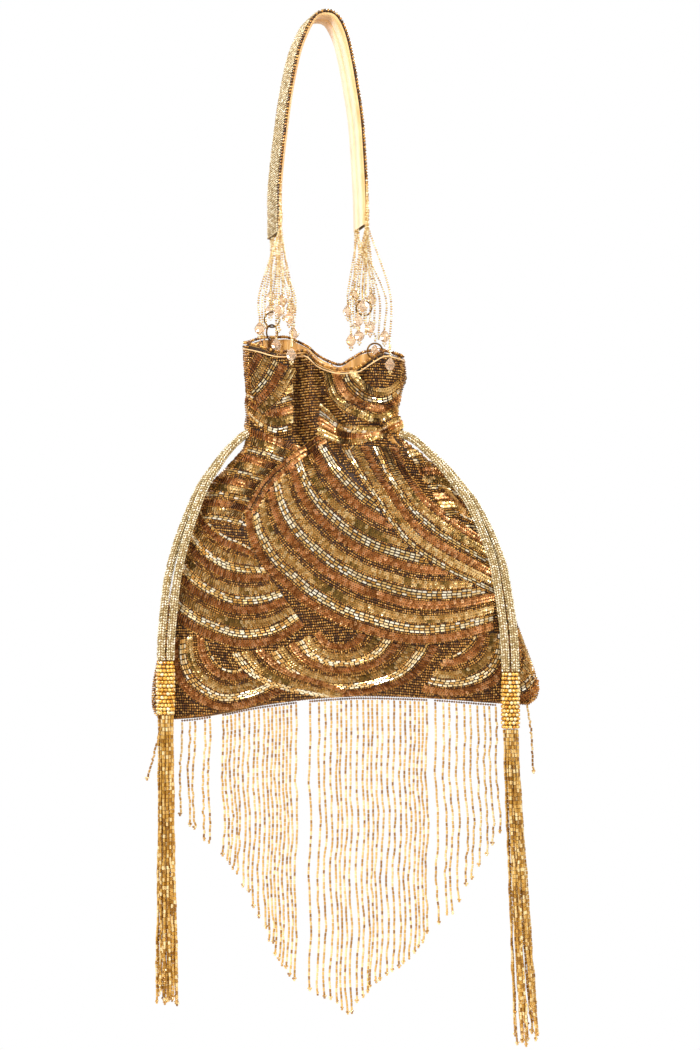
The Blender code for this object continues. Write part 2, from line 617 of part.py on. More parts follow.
def rope_route(route, place):
    """One rope of a pair: the pair lies one behind the other at the neck, side by side below."""
    apart = (ROPE_WIDTH + ROPE_GAP) / 2
    points = smooth_path(route, ROPE_STEPS + 1)
    result = []
    for i, p in enumerate(points):
        turn = 0.5 * math.pi * (1 - min(1.0, ROPE_TWIST * i / ROPE_STEPS))
        offset = Vector((math.cos(turn), -math.sin(turn) * (1 if route[0][0] < 0 else -1), 0))
        result.append(p + offset * place * apart)
    return result


def make_rope(name, route, place, carrier, mat):
    curve = bpy.data.curves.new(name, "CURVE")
    curve.dimensions = "3D"
    curve.bevel_depth = ROPE_WIDTH / 2 * MM
    curve.bevel_resolution = ROPE_SIDES
    curve.use_fill_caps = True
    points = rope_route(route, place)
    spline = curve.splines.new("POLY")
    spline.points.add(len(points) - 1)
    origin = Vector(carrier["place"])
    for spot, p in zip(spline.points, points):
        spot.co = (*((p - origin) * MM), 1.0)
    rope = bpy.data.objects.new(name, curve)
    bpy.context.scene.collection.objects.link(rope)
    rope.parent = carrier
    curve.materials.append(mat)


def make_cap(name, route, length, carrier, mat):
    """Beaded tube whose top is a knuckle, so that it can swing under the ropes."""
    x, y, z = route[-1]
    top = z - SEAT_GAP
    shoulder = KNUCKLE + CAP_WIDTH / 4
    rows = [(0.0, CAP_END_WIDTH, KNUCKLE_FLAT), (KNUCKLE, CAP_WIDTH - 0.5, 2 * KNUCKLE),
            (shoulder, CAP_WIDTH, CAP_WIDTH - 0.5), (0.4 * length, CAP_WIDTH, CAP_WIDTH),
            (0.7 * length, CAP_WIDTH, CAP_WIDTH), (0.93 * length, CAP_WIDTH - 0.6, CAP_WIDTH - 0.6),
            (length, CAP_END_WIDTH, CAP_END_WIDTH)]
    verts, faces = sweep([(x, y, top - down) for down, _, _ in rows],
                         [width / 2 for _, width, _ in rows], CAP_SIDES)
    for k, v in enumerate(verts):
        _, width, depth = rows[min(k // CAP_SIDES, len(rows) - 1)]
        v.y = y + (v.y - y) * depth / width
    add_mesh(name, verts, faces, carrier, mat)


def make_skirt(name, route, cap_length, length, carrier, mat):
    """Ridged head of strand tops with one strand drawn down from each."""
    cx, cy, z = route[-1]
    top = z - SEAT_GAP - cap_length - SEAT_GAP
    half = SKIRT_BEAD / 2
    centres = [(k - (SKIRT_GRID - 1) / 2) * SKIRT_PITCH for k in range(SKIRT_GRID)]
    lines = [c + d for c in centres for d in (-half, half)]
    count = len(lines)
    verts, faces = [], []

    ridge = KNUCKLE_FLAT / (lines[-1] - lines[0])

    def spot(i, j, z_value, narrow=1.0):
        verts.append(Vector((cx + lines[i] * narrow, cy + lines[j], z_value)))
        return len(verts) - 1

    low = [[spot(i, j, top - SKIRT_HEAD) for j in range(count)] for i in range(count)]
    rim = [(i, 0) for i in range(count)] + [(count - 1, j) for j in range(1, count)]
    rim += [(i, count - 1) for i in range(count - 2, -1, -1)] + [(0, j) for j in range(count - 2, 0, -1)]
    high = [spot(i, j, top, ridge) for i, j in rim]
    faces.append(tuple(high))
    for k, (i, j) in enumerate(rim):
        ni, nj = rim[(k + 1) % len(rim)]
        faces.append((low[i][j], low[ni][nj], high[(k + 1) % len(rim)], high[k]))
    for i in range(count - 1):
        for j in range(count - 1):
            corners = [low[i][j], low[i][j + 1], low[i + 1][j + 1], low[i + 1][j]]
            if i % 2 or j % 2:
                faces.append(tuple(corners))
            else:
                order = (i // 2) * SKIRT_GRID + j // 2
                add_skirt_strand(verts, faces, corners, (cx, cy), top, length, order)
    add_mesh(name, verts, faces, carrier, mat, smooth=False)


def add_skirt_strand(verts, faces, corners, middle, top, length, order):
    cx, cy = middle
    heart = sum((verts[c] for c in corners), Vector()) / 4
    vary = (order * 7 % 16) / 15
    own = length * (SKIRT_SHORTEST + (1 - SKIRT_SHORTEST) * vary)
    ring = corners
    for share, swell in ((0.985, 1.5), (1.0, 0.6)):
        flare = 1 + (SKIRT_FLARE - 1) * min(1.0, share * 1.6)
        target = Vector((cx + (heart.x - cx) * flare, cy + (heart.y - cy) * flare,
                         top - own * share))
        new = []
        for c in corners:
            verts.append(target + (verts[c] - heart) * swell)
            new.append(len(verts) - 1)
        for k in range(4):
            faces.append((ring[k], ring[(k + 1) % 4], new[(k + 1) % 4], new[k]))
        ring = new
    faces.append(tuple(ring))


# Fringe

def hem_height(x):
    """Height of the lower edge of the pouch at x."""
    left, right = table(LEFT_EDGE, HEM_Z), table(RIGHT_EDGE, HEM_Z)
    return HEM_Z + table(HEM_RISE, min(max((x - left) / (right - left), 0.0), 1.0))


def make_fringe(name, xs, carrier, mat):
    """Bead row under the hem with a strand drawn down from it at each x."""
    half, depth = FRINGE_BEAD / 2, FRINGE_HEAD / 2
    lines = [x + d for x in xs for d in (-half, half)]
    verts, faces = [], []
    sections = []
    for x in lines:
        top = hem_height(x) - FRINGE_GAP
        first = len(verts)
        verts += [Vector((x, -depth, top)), Vector((x, depth, top)),
                  Vector((x, depth, top - FRINGE_HEAD)), Vector((x, -depth, top - FRINGE_HEAD))]
        sections.append((first, first + 1, first + 2, first + 3))
    for i in range(len(lines) - 1):
        a, b = sections[i], sections[i + 1]
        faces += [(a[0], b[0], b[1], a[1]), (a[1], b[1], b[2], a[2]), (a[3], b[3], b[0], a[0])]
        if i % 2:
            faces.append((a[2], b[2], b[3], a[3]))
        else:
            add_fringe_strand(verts, faces, [a[3], a[2], b[2], b[3]], xs[i // 2])
    faces.append(sections[0])
    faces.append(sections[-1][::-1])
    add_mesh(name, verts, faces, carrier, mat, smooth=False)


def add_fringe_strand(verts, faces, corners, x):
    top = sum(verts[c].z for c in corners) / 4
    bottom = table(FRINGE_ENDS, x)
    length = top - bottom
    half = FRINGE_BEAD / 2
    ring = corners
    rows = [(1.0 - PICOT_TOP / length, half),
            (1.0 - PICOT_MIDDLE / length, FRINGE_PICOT / 2), (1.0, FRINGE_TIP)]
    for share, size in rows:
        z = top - length * share
        sway = FRINGE_WAVE * math.sin(2 * math.pi * z / FRINGE_WAVE_LENGTH)
        wide = min(size, half + FRINGE_SIDE)
        new = []
        for dx, dy in ((-wide, -size), (-wide, size), (wide, size), (wide, -size)):
            verts.append(Vector((x + sway + dx, dy, z)))
            new.append(len(verts) - 1)
        for k in range(4):
            faces.append((ring[k], ring[(k + 1) % 4], new[(k + 1) % 4], new[k]))
        ring = new
    faces.append(tuple(ring))


def make_corner_strand(name, x0, bottom, carrier, mat):
    x1, z1 = bottom
    z0 = hem_height(x0) - SEAT_GAP
    half = FRINGE_BEAD / 2
    points = [(x0, 0, z0), (0.5 * (x0 + x1) + 0.8, 0, 0.5 * (z0 + z1)), (x1, 0, z1 + 4.0),
              (x1, 0, z1 + 1.5), (x1, 0, z1)]
    verts, faces = sweep(points, [half, half, half, FRINGE_PICOT / 2, 0.4], 5)
    add_mesh(name, verts, faces, carrier, mat)


def fringe_hinge(xs):
    """Point on the bead row of a fringe group, at its left end."""
    return (xs[0], 0.0, hem_height(xs[0]) - FRINGE_GAP - FRINGE_HEAD / 2)


def main():
    for obj in list(bpy.data.objects):
        bpy.data.objects.remove(obj, do_unlink=True)
    mats = {
        "strap": material("pale gold seed beads", (0.58, 0.47, 0.27), 0.35, 0.6),
        "dark_bead": material("antique gold seed beads", (0.2, 0.11, 0.035), 0.35, 0.7),
        "lining": material("gold satin lining", (0.7, 0.4, 0.12), 0.5),
        "tab": material("brown satin tab", (0.25, 0.11, 0.03), 0.55),
        "strand": material("gold glass seed beads", (0.7, 0.47, 0.17), 0.25, 0.4),
        "crystal": material("peach cut crystal", (0.88, 0.6, 0.41), 0.08),
        "wire": material("aged brass wire", (0.36, 0.22, 0.07), 0.35, 1.0),
        "shell": material("copper and gold bead embroidery", (0.34, 0.17, 0.06), 0.4, 0.5),
        "rope": material("pale gold beaded rope", (0.5, 0.4, 0.22), 0.4, 0.4),
        "cap": material("amber seed beads", (0.62, 0.33, 0.05), 0.25, 0.3),
        "fringe": material("pale gold cut bugles", (0.68, 0.45, 0.18), 0.25, 0.4),
    }
    handle = make_empty("handle_body", (0, 0, 0))
    bag = make_empty("bag_body", LEFT_LINK, handle)
    make_strap(handle, mats)
    make_rings(handle, bag, mats)
    make_handle_strands(handle, bag, mats)
    wall_solid("shell", 0.0, SHELL_WALL, bag, mats["shell"])
    lining_inset = SHELL_WALL + LINING_GAP
    wall_solid("lining", lining_inset, lining_inset + LINING_WALL, bag, mats["lining"])
    make_piping(bag, mats)
    sides = (("left", LEFT_ROUTE, LEFT_CAP_LENGTH, LEFT_SKIRT_LENGTH),
             ("right", RIGHT_ROUTE, RIGHT_CAP_LENGTH, RIGHT_SKIRT_LENGTH))
    for side, route, cap_length, skirt_length in sides:
        for place, name in ((-1, "drawcord_{}_a"), (1, "drawcord_{}_b")):
            make_rope(name.format(side), route, place, bag, mats["rope"])
        x, y, z = route[-1]
        swing = (x, y, z - SEAT_GAP - KNUCKLE)
        sway = (x, y, swing[2] - cap_length - SEAT_GAP)
        tassel = make_empty("tassel_{}_body".format(side), swing, bag)
        skirt = make_empty("skirt_{}_body".format(side), sway, tassel)
        make_cap("cap_{}".format(side), route, cap_length, tassel, mats["cap"])
        make_skirt("skirt_{}".format(side), route, cap_length, skirt_length, skirt, mats["fringe"])
    bodies = {}
    for name, xs in FRINGE_STRANDS.items():
        bodies[name] = make_empty(name + "_body", fringe_hinge(xs), bag)
        make_fringe(name, xs, bodies[name], mats["fringe"])
    corners = (("fringe_corner_left", "fringe_1"), ("fringe_corner_right", "fringe_4"))
    for name, body in corners:
        top, bottom = CORNER_STRANDS[name]
        make_corner_strand(name, top, bottom, bodies[body], mats["fringe"])


main()
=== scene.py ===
"""Looks of a beaded potli bag: cloth, bead embroidery, bead strands, drawcords, tassels and fringe.

Lengths in this script are millimetres in the bag's own frame. MM turns them into metres. The bag hangs
from the origin, +Z up, its front faces -Y. Places on the front are noted as pixels of the photograph,
which is PIXEL millimetres a pixel, and front_place turns them into the frame.
"""

import math

import bpy
import numpy as np
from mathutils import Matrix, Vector
from mathutils.bvhtree import BVHTree


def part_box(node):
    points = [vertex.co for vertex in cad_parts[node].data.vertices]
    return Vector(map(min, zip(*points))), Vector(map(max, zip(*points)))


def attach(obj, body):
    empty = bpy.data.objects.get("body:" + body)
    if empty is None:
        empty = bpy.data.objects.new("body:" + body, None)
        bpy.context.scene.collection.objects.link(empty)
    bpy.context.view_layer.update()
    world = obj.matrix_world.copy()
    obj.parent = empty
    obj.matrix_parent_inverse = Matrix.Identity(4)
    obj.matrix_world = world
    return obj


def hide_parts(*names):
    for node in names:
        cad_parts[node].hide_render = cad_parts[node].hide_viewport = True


MM = 0.001
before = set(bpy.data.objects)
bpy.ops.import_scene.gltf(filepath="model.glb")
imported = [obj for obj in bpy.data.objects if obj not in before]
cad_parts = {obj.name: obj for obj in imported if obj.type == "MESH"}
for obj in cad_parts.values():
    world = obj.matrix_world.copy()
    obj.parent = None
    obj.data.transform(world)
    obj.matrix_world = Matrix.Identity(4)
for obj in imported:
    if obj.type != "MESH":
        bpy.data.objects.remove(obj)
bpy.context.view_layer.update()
rng = np.random.default_rng(11)

# Photograph
PIXEL = 0.58
ORIGIN_PIXEL = (321, 22)
PHOTO_SIZE = (700, 1050)

# Beads: diameter, length, and the pitch at which they are strung
SEED = (1.28, 1.08, 1.32)
BUGLE = (1.15, 2.3, 2.95)
SEQUIN = (2.45, 0.6, 1.5)
STRAND_SEED = (1.6, 1.1, 1.4)
CUT_BUGLE = (1.3, 2.0, 2.25)


def front_place(spot):
    px, py = spot
    return ((px - ORIGIN_PIXEL[0]) * PIXEL, (ORIGIN_PIXEL[1] - py) * PIXEL)


# Camera, lamps and backdrop

CAMERA_DISTANCE = 1800.0


SENSOR_WIDTH = 36.0


def place_camera():
    lens_data = bpy.data.cameras.new("camera")
    lens_data.sensor_width = SENSOR_WIDTH
    lens_data.lens = SENSOR_WIDTH * CAMERA_DISTANCE / (PHOTO_SIZE[1] * PIXEL)
    lens_data.clip_start = 0.05
    camera = bpy.data.objects.new("camera", lens_data)
    bpy.context.scene.collection.objects.link(camera)
    x, z = front_place((PHOTO_SIZE[0] / 2, PHOTO_SIZE[1] / 2))
    camera.location = (x * MM, -CAMERA_DISTANCE * MM, z * MM)
    camera.rotation_euler = (math.radians(90), 0, 0)
    bpy.context.scene.camera = camera


def place_lamp(name, spot, target, size, power):
    data = bpy.data.lights.new(name, "AREA")
    data.shape = "DISK"
    data.size = size
    data.energy = power
    lamp = bpy.data.objects.new(name, data)
    lamp.location = spot
    lamp.rotation_euler = (Vector(target) - Vector(spot)).to_track_quat("-Z", "Y").to_euler()
    bpy.context.scene.collection.objects.link(lamp)


# Materials

def linear(text):
    """sRGB hex colour as linear red, green, blue and alpha."""
    parts = [int(text[i:i + 2], 16) / 255 for i in (1, 3, 5)]
    return [c / 12.92 if c <= 0.04045 else ((c + 0.055) / 1.055) ** 2.4 for c in parts] + [1.0]


def add_node(tree, kind, links=(), **settings):
    """New node with its settings; a link is (input, node, output)."""
    node = tree.nodes.new(kind)
    for key, value in settings.items():
        if key.startswith("in_"):
            node.inputs[key[3:].replace("_", " ")].default_value = value
        else:
            setattr(node, key, value)
    for name, source, output in links:
        tree.links.new(source.outputs[output], node.inputs[name])
    return node


def blank_material(name):
    mat = bpy.data.materials.new(name)
    mat.use_nodes = True
    mat.node_tree.nodes.clear()
    return mat, mat.node_tree


def close_material(tree, shader):
    add_node(tree, "ShaderNodeOutputMaterial", [("Surface", shader, "BSDF")])


def bead_material(name, colours, **shader):
    """Finish of beads: each bead's own tone picks its colour between the given ones."""
    mat, tree = blank_material(name)
    tone = add_node(tree, "ShaderNodeAttribute", attribute_name="tone")
    ramp = add_node(tree, "ShaderNodeValToRGB", [("Fac", tone, "Fac")])
    points = ramp.color_ramp.elements
    while len(points) < len(colours):
        points.new(0.5)
    for i, text in enumerate(colours):
        points[i].position = i / (len(colours) - 1)
        points[i].color = linear(text)
    close_material(tree, add_node(tree, "ShaderNodeBsdfPrincipled", [("Base Color", ramp, "Color")],
                                  **shader))
    return mat


def satin_material(name, dark, light, weave, crease, **shader):
    """Woven satin: fine thread lines of the given spacing and soft creases, in millimetres, with painted
    shade in the creases' hollows and painted light on their crests.
    """
    mat, tree = blank_material(name)
    place = add_node(tree, "ShaderNodeTexCoord")
    folds = add_node(tree, "ShaderNodeTexNoise", [("Vector", place, "Object")],
                     in_Scale=1 / (crease * MM), in_Detail=3.0, in_Distortion=0.6)
    # Painted shade and light: the crease noise that raises the bump also picks the colour, dark in the
    # hollows and light on the crests.
    ramp = add_node(tree, "ShaderNodeValToRGB", [("Fac", folds, "Fac")])
    ramp.color_ramp.elements[0].position = 0.3
    ramp.color_ramp.elements[0].color = linear(dark)
    ramp.color_ramp.elements[1].position = 0.7
    ramp.color_ramp.elements[1].color = linear(light)
    threads = add_node(tree, "ShaderNodeTexWave", [("Vector", place, "Object")],
                       in_Scale=1 / (weave * MM), in_Distortion=1.0, bands_direction="DIAGONAL")
    soft = add_node(tree, "ShaderNodeBump", [("Height", folds, "Fac")], in_Strength=0.25,
                    in_Distance=1.5 * MM)
    fine = add_node(tree, "ShaderNodeBump", [("Height", threads, "Fac"), ("Normal", soft, "Normal")],
                    in_Strength=0.12, in_Distance=0.2 * MM)
    close_material(tree, add_node(tree, "ShaderNodeBsdfPrincipled",
                                  [("Base Color", ramp, "Color"), ("Normal", fine, "Normal")],
                                  **shader))
    return mat


def make_materials():
    return {
        # Antique gold lined glass: dark with a warm glint
        "seed": bead_material("antique gold seed beads", ("#4a2b0e", "#8a5820", "#ba8236", "#dcaa5c"),
                              in_Metallic=0.6, in_Roughness=0.28, in_Coat_Weight=0.3),
        # Copper foil sequins: soft satin metal
        "copper": bead_material("copper foil cup sequins", ("#8f5828", "#c08044", "#d69a5c", "#eebb84"),
                                in_Metallic=0.6, in_Roughness=0.3),
        # Pale gold foil sequins, some tarnished to olive
        "gold": bead_material("pale gold foil cup sequins", ("#7c6634", "#c0954e", "#e0ba74", "#fae2aa"),
                              in_Metallic=0.6, in_Roughness=0.26),
        # Silver lined amber glass: white glints on ochre
        "bugle": bead_material("silver lined bugle beads", ("#b98336", "#dcb268", "#f0dcae", "#fff6e2"),
                               in_Metallic=0.5, in_Roughness=0.2, in_Coat_Weight=0.5),
        # Pale gold lined seeds of the strap: bright and fine
        "pale": bead_material("pale gold seed beads", ("#a58a5a", "#d9c090", "#fbefd0"),
                              in_Metallic=0.35, in_Roughness=0.25, in_Coat_Weight=0.3),
        # Gold glass seeds of the strands: glassy and light
        "strand": bead_material("gold glass seed beads", ("#a57632", "#cfa65c", "#e6ca8e", "#f8ebc6"),
                                in_Metallic=0.25, in_Roughness=0.18, in_Coat_Weight=0.6),
        # Cut bugles of the fringe: pale gold with brown flashes
        "fringe": bead_material("pale gold cut bugles", ("#8f6022", "#c59440", "#deb66c", "#f5dda4"),
                                in_Metallic=0.2, in_Roughness=0.22, in_Coat_Weight=0.4),
        # Cut bugles of the tassels: deeper gold
        "tassel": bead_material("gold cut bugles", ("#8a5a18", "#bc8a34", "#d8ab58", "#f4dea8"),
                                in_Metallic=0.25, in_Roughness=0.22, in_Coat_Weight=0.5),
        # Amber glass seeds of the caps: saturated orange gold
        "amber": bead_material("amber glass seed beads", ("#c07c14", "#e0a434", "#f0c460", "#fff0c4"),
                               in_Metallic=0.25, in_Roughness=0.16, in_Coat_Weight=0.7),
        # Grey gold metal seeds of the drawcords
        "rope": bead_material("grey gold seed beads", ("#a08a58", "#ccb888", "#e6d8b2", "#f7f0da"),
                              in_Metallic=0.35, in_Roughness=0.26, in_Coat_Weight=0.3),
        # Peach crystal: clear with a warm tint
        "crystal": bead_material("peach cut crystal", ("#fbd8b0", "#ffead2"), in_Roughness=0.03,
                                 in_Transmission_Weight=0.8, in_IOR=1.54, in_Coat_Weight=0.6),
        # Aged brass wire
        "wire": bead_material("aged brass wire", ("#6a4a1c", "#8a6a30"), in_Metallic=1.0,
                              in_Roughness=0.32),
        # The satin materials below paint shade and light on their creases: the first colour is the painted
        # shade in the hollows, the second the painted light on the crests.
        # Dark ground cloth under the beads
        "ground": satin_material("brown ground cloth", "#1f1006", "#3a220d", 0.5, 9.0,
                                 in_Roughness=0.7),
        # Cotton core of the drawcords, seen between the beads
        "cord": satin_material("tan cotton cord", "#6f5228", "#94713c", 0.4, 4.0, in_Roughness=0.75),
        # Satin of the pouch's lining: golden tan with a soft sheen, partly from the shader and partly
        # painted light on the crests of its creases
        "lining": satin_material("gold satin lining", "#b98238", "#e0b268", 0.45, 16.0,
                                 in_Roughness=0.42, in_Sheen_Weight=0.4),
        # Satin of the strap's inner face: pale tan
        "strap_lining": satin_material("pale tan satin", "#dba968", "#edc78c", 0.45, 14.0,
                                       in_Roughness=0.42, in_Sheen_Weight=0.4),
        # Brown satin of the two ring tabs
        "tab": satin_material("brown satin tab", "#5f3d1c", "#7d552b", 0.4, 5.0, in_Roughness=0.45),
    }


# Small tools

def deselect():
    if bpy.context.object and bpy.context.object.mode != "OBJECT":
        bpy.ops.object.mode_set(mode="OBJECT")
    bpy.ops.object.select_all(action="DESELECT")


def table(points, t):
    """Smooth value at t through (t, value) pairs listed in either direction."""
    pts = sorted(points)
    if t <= pts[0][0]:
        return pts[0][1]
    if t >= pts[-1][0]:
        return pts[-1][1]
    i = next(k for k in range(len(pts) - 1) if t <= pts[k + 1][0])
    (t0, v0), (t1, v1) = pts[i], pts[i + 1]
    slope = (v1 - v0) / (t1 - t0)

    def tangent(k):
        if k in (0, len(pts) - 1):
            return slope
        before = (pts[k][1] - pts[k - 1][1]) / (pts[k][0] - pts[k - 1][0])
        after = (pts[k + 1][1] - pts[k][1]) / (pts[k + 1][0] - pts[k][0])
        if before * after <= 0:
            return 0.0
        return 2 * before * after / (before + after)

    h = t1 - t0
    u = (t - t0) / h
    m0, m1 = tangent(i) * h, tangent(i + 1) * h
    return (v0 * (2 * u ** 3 - 3 * u ** 2 + 1) + m0 * (u ** 3 - 2 * u ** 2 + u)
            + v1 * (3 * u ** 2 - 2 * u ** 3) + m1 * (u ** 3 - u ** 2))


def smooth_path(points, count):
    """Evenly spaced points on a smooth curve through the given ones, as an array."""
    pts = np.array(points, float)
    ends = np.vstack([2 * pts[0] - pts[1], pts, 2 * pts[-1] - pts[-2]])
    fine = []
    for i in range(1, len(ends) - 2):
        p0, p1, p2, p3 = ends[i - 1:i + 3]
        u = np.linspace(0, 1, 16, endpoint=False)[:, None]
        fine.append(0.5 * (2 * p1 + (p2 - p0) * u + (2 * p0 - 5 * p1 + 4 * p2 - p3) * u ** 2
                           + (3 * p1 - p0 - 3 * p2 + p3) * u ** 3))
    fine = np.vstack(fine + [pts[-1:]])
    return resample(fine, count)


def lengths_along(points):
    steps = np.linalg.norm(np.diff(points, axis=0), axis=1)
    return np.concatenate([[0.0], np.cumsum(steps)])


def resample(points, count):
    run = lengths_along(points)
    want = np.linspace(0, run[-1], count)
    return np.column_stack([np.interp(want, run, points[:, k]) for k in range(points.shape[1])])


def finish_piece(obj, body, mat, replaced=()):
    obj.data.materials.clear()
    obj.data.materials.append(mat)
    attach(obj, body)
    if replaced:
        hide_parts(*replaced)
    return obj


def mesh_piece(name, verts, faces, smooth=True):
    """Object from millimetre points."""
    mesh = bpy.data.meshes.new(name)
    mesh.from_pydata([tuple(float(c) * MM for c in v) for v in verts], [], faces)
    mesh.validate()
    if smooth:
        mesh.shade_smooth()
    obj = bpy.data.objects.new(name, mesh)
    bpy.context.scene.collection.objects.link(obj)
    return obj


# Bead shapes, each modelled once at one millimetre and copied from there

def take_shape():
    """Points and faces of the active object, which is then removed."""
    obj = bpy.context.object
    verts = np.array([v.co[:] for v in obj.data.vertices])
    faces = [list(p.vertices) for p in obj.data.polygons]
    bpy.data.objects.remove(obj, do_unlink=True)
    return verts, faces


def seed_shape(sides, rings):
    """Rounded bead with its thread hole along X, flattened at both ends."""
    deselect()
    bpy.ops.mesh.primitive_uv_sphere_add(segments=sides, ring_count=rings, radius=0.5,
                                         rotation=(0, math.pi / 2, 0))
    bpy.ops.object.transform_apply()
    verts, faces = take_shape()
    verts[:, 0] = np.clip(verts[:, 0] * 1.25, -0.5, 0.5)
    return verts, faces


def tube_shape(sides):
    """Cut glass tube along X."""
    deselect()
    bpy.ops.mesh.primitive_cylinder_add(vertices=sides, radius=0.5, depth=1,
                                        rotation=(0, math.pi / 2, 0))
    bpy.ops.object.transform_apply()
    return take_shape()


def sequin_shape():
    """Cupped foil disc with a hole, opening along Z."""
    deselect()
    bpy.ops.mesh.primitive_circle_add(vertices=8, radius=0.5, fill_type="NGON")
    bpy.ops.object.mode_set(mode="EDIT")
    bpy.ops.mesh.select_all(action="SELECT")
    bpy.ops.mesh.inset(thickness=0.34, depth=0)
    bpy.ops.transform.translate(value=(0, 0, -0.5))
    bpy.ops.mesh.delete(type="ONLY_FACE")
    bpy.ops.object.mode_set(mode="OBJECT")
    return take_shape()


def drop_shape():
    """Faceted pear drop, its point up along X."""
    deselect()
    bpy.ops.mesh.primitive_uv_sphere_add(segments=8, ring_count=6, radius=0.5,
                                         rotation=(0, math.pi / 2, 0))
    bpy.ops.object.transform_apply()
    verts, faces = take_shape()
    slim = np.where(verts[:, 0] > 0, 1.0 - 1.1 * verts[:, 0], 1.0 - 0.25 * (verts[:, 0] / 0.5) ** 2)
    verts[:, 1:] *= slim[:, None]
    return verts, faces


def make_shapes():
    return {"seed": seed_shape(6, 4), "rung": seed_shape(5, 3), "bugle": tube_shape(5),
            "sequin": sequin_shape(), "drop": drop_shape()}


def copy_beads(name, shape, frames, tones, smooth):
    """One mesh of many copies of a bead shape. A frame is three axes and a place, in millimetres."""
    verts, faces = shape
    frames = np.asarray(frames, float)
    count = len(frames)
    spots = np.einsum("vk,nkc->nvc", verts, frames[:, :3]) + frames[:, 3:4]
    loops = np.concatenate([np.array(f) for f in faces])
    sizes = np.array([len(f) for f in faces])
    mesh = bpy.data.meshes.new(name)
    mesh.vertices.add(count * len(verts))
    mesh.vertices.foreach_set("co", (spots * MM).ravel())
    mesh.loops.add(count * len(loops))
    shift = np.arange(count)[:, None] * len(verts)
    mesh.loops.foreach_set("vertex_index", (loops[None, :] + shift).ravel())
    mesh.polygons.add(count * len(sizes))
    totals = np.tile(sizes, count)
    mesh.polygons.foreach_set("loop_start", np.concatenate([[0], np.cumsum(totals)[:-1]]))
    mesh.polygons.foreach_set("loop_total", totals)
    mesh.polygons.foreach_set("use_smooth", np.full(len(totals), smooth))
    mesh.update(calc_edges=True)
    tone = mesh.attributes.new("tone", "FLOAT", "POINT")
    tone.data.foreach_set("value", np.repeat(np.asarray(tones, float), len(verts)))
    obj = bpy.data.objects.new(name, mesh)
    bpy.context.scene.collection.objects.link(obj)
    return obj


def unit(v):
    return v / np.maximum(np.linalg.norm(v, axis=-1, keepdims=True), 1e-9)


def string_frames(points, outward, bead, start=0.0, end=0.0, turn=0.0, tilt=0.0, jitter=0.0):
    """Frames of beads strung along a path. outward is one direction, or one for each point."""
    diameter, length, pitch = bead
    run = lengths_along(points)
    total = run[-1] - start - end
    if total < pitch:
        return np.zeros((0, 4, 3))
    count = int(total / pitch)
    want = start + (np.arange(count) + 0.5) * total / count
    place = np.column_stack([np.interp(want, run, points[:, k]) for k in range(3)])
    ahead = np.column_stack([np.interp(want + 0.4, run, points[:, k]) for k in range(3)])
    behind = np.column_stack([np.interp(want - 0.4, run, points[:, k]) for k in range(3)])
    along = unit(ahead - behind)
    out = np.asarray(outward, float)
    if out.ndim == 2:
        out = np.column_stack([np.interp(want, run, out[:, k]) for k in range(3)])
    else:
        out = np.tile(out, (count, 1))
    if jitter:
        place = place + rng.normal(0, jitter, place.shape)
        along = unit(along + rng.normal(0, 0.5 * jitter, along.shape))
    across = unit(np.cross(out, along))
    out = np.cross(along, across)
    if turn:
        c, s = math.cos(turn), math.sin(turn)
        along, across = along * c + across * s, across * c - along * s
    if tilt:
        c, s = math.cos(tilt), math.sin(tilt)
        along, out = along * c + out * s, out * c - along * s
    return np.stack([along * length, across * diameter, out * diameter, place], axis=1)


def random_tones(count, low=0.0, high=1.0):
    return low + (high - low) * rng.random(count)


def beaded(name, body, shapes, mats, kind, finish, frames, replaced=(), tones=None, smooth=True):
    frames = np.concatenate([f for f in frames if len(f)])
    if tones is None:
        tones = random_tones(len(frames))
    obj = copy_beads(name, shapes[kind], frames, tones, smooth)
    return finish_piece(obj, body, mats[finish], replaced)


# Sizes as in the part. The strap's turn, the drops' size, the height where strands spread and
# FOLD_SHARE differ from it: they bring the look closer to the photograph.

SEAT_GAP = 0.3
# Strap: a flat beaded band bent into an arch, its outer face given as (x, z) down both legs
STRAP_WIDTH = 18.8
STRAP_COVER = 2.2       # beaded outer layer
STRAP_LINING = 2.0      # plain inner layer
STRAP_TURN_DEG = 19.0   # the band is turned a little away from the front view
STRAP_ROLL_DEG = 8.0    # its front edge stands higher than its back edge
STRAP_EDGE_BEAD = 1.8   # diameter of the dark bead row along each edge
STRAP_TOP = STRAP_COVER + SEAT_GAP + STRAP_LINING
STRAP_FLAT = 3.0        # half length of the flat at the top
STRAP_LEFT = [(-28.5, -124.0), (-28.5, -111.0), (-28.5, -98.0), (-27.2, -82.0), (-25.2, -65.0),
              (-22.2, -43.0), (-17.8, -21.0), (-13.2, -8.0), (-8.6, 0.4)]
STRAP_RIGHT = [(8.8, 0.0), (12.9, -9.0), (16.2, -22.6), (19.1, -38.9), (21.8, -57.4),
               (23.2, -76.0), (24.4, -97.0), (24.8, -108.0), (25.0, -119.5)]

# Bead strands between the strap's ends and the mouth
STRAND_SPREAD_Z = -157.0
STRAND_BEND = 2.0       # height above a drop at which its strand leaves its slot
DROP_WIDTH = 6.3
DROP_HEIGHT = 7.6

# Wire rings that carry the bag
RING_RADIUS = 4.4
RING_WIRE = 1.0
RING_TURN_DEG = 45.0
LEFT_LINK = (-28.4, 0.0, -177.0)     # the bag hangs from these two points
RIGHT_LINK = (31.3, 0.0, -186.4)
RIGHT_UPPER_RING = (24.9, 0.0, -165.9)
TAB_WIDTH = 4.5

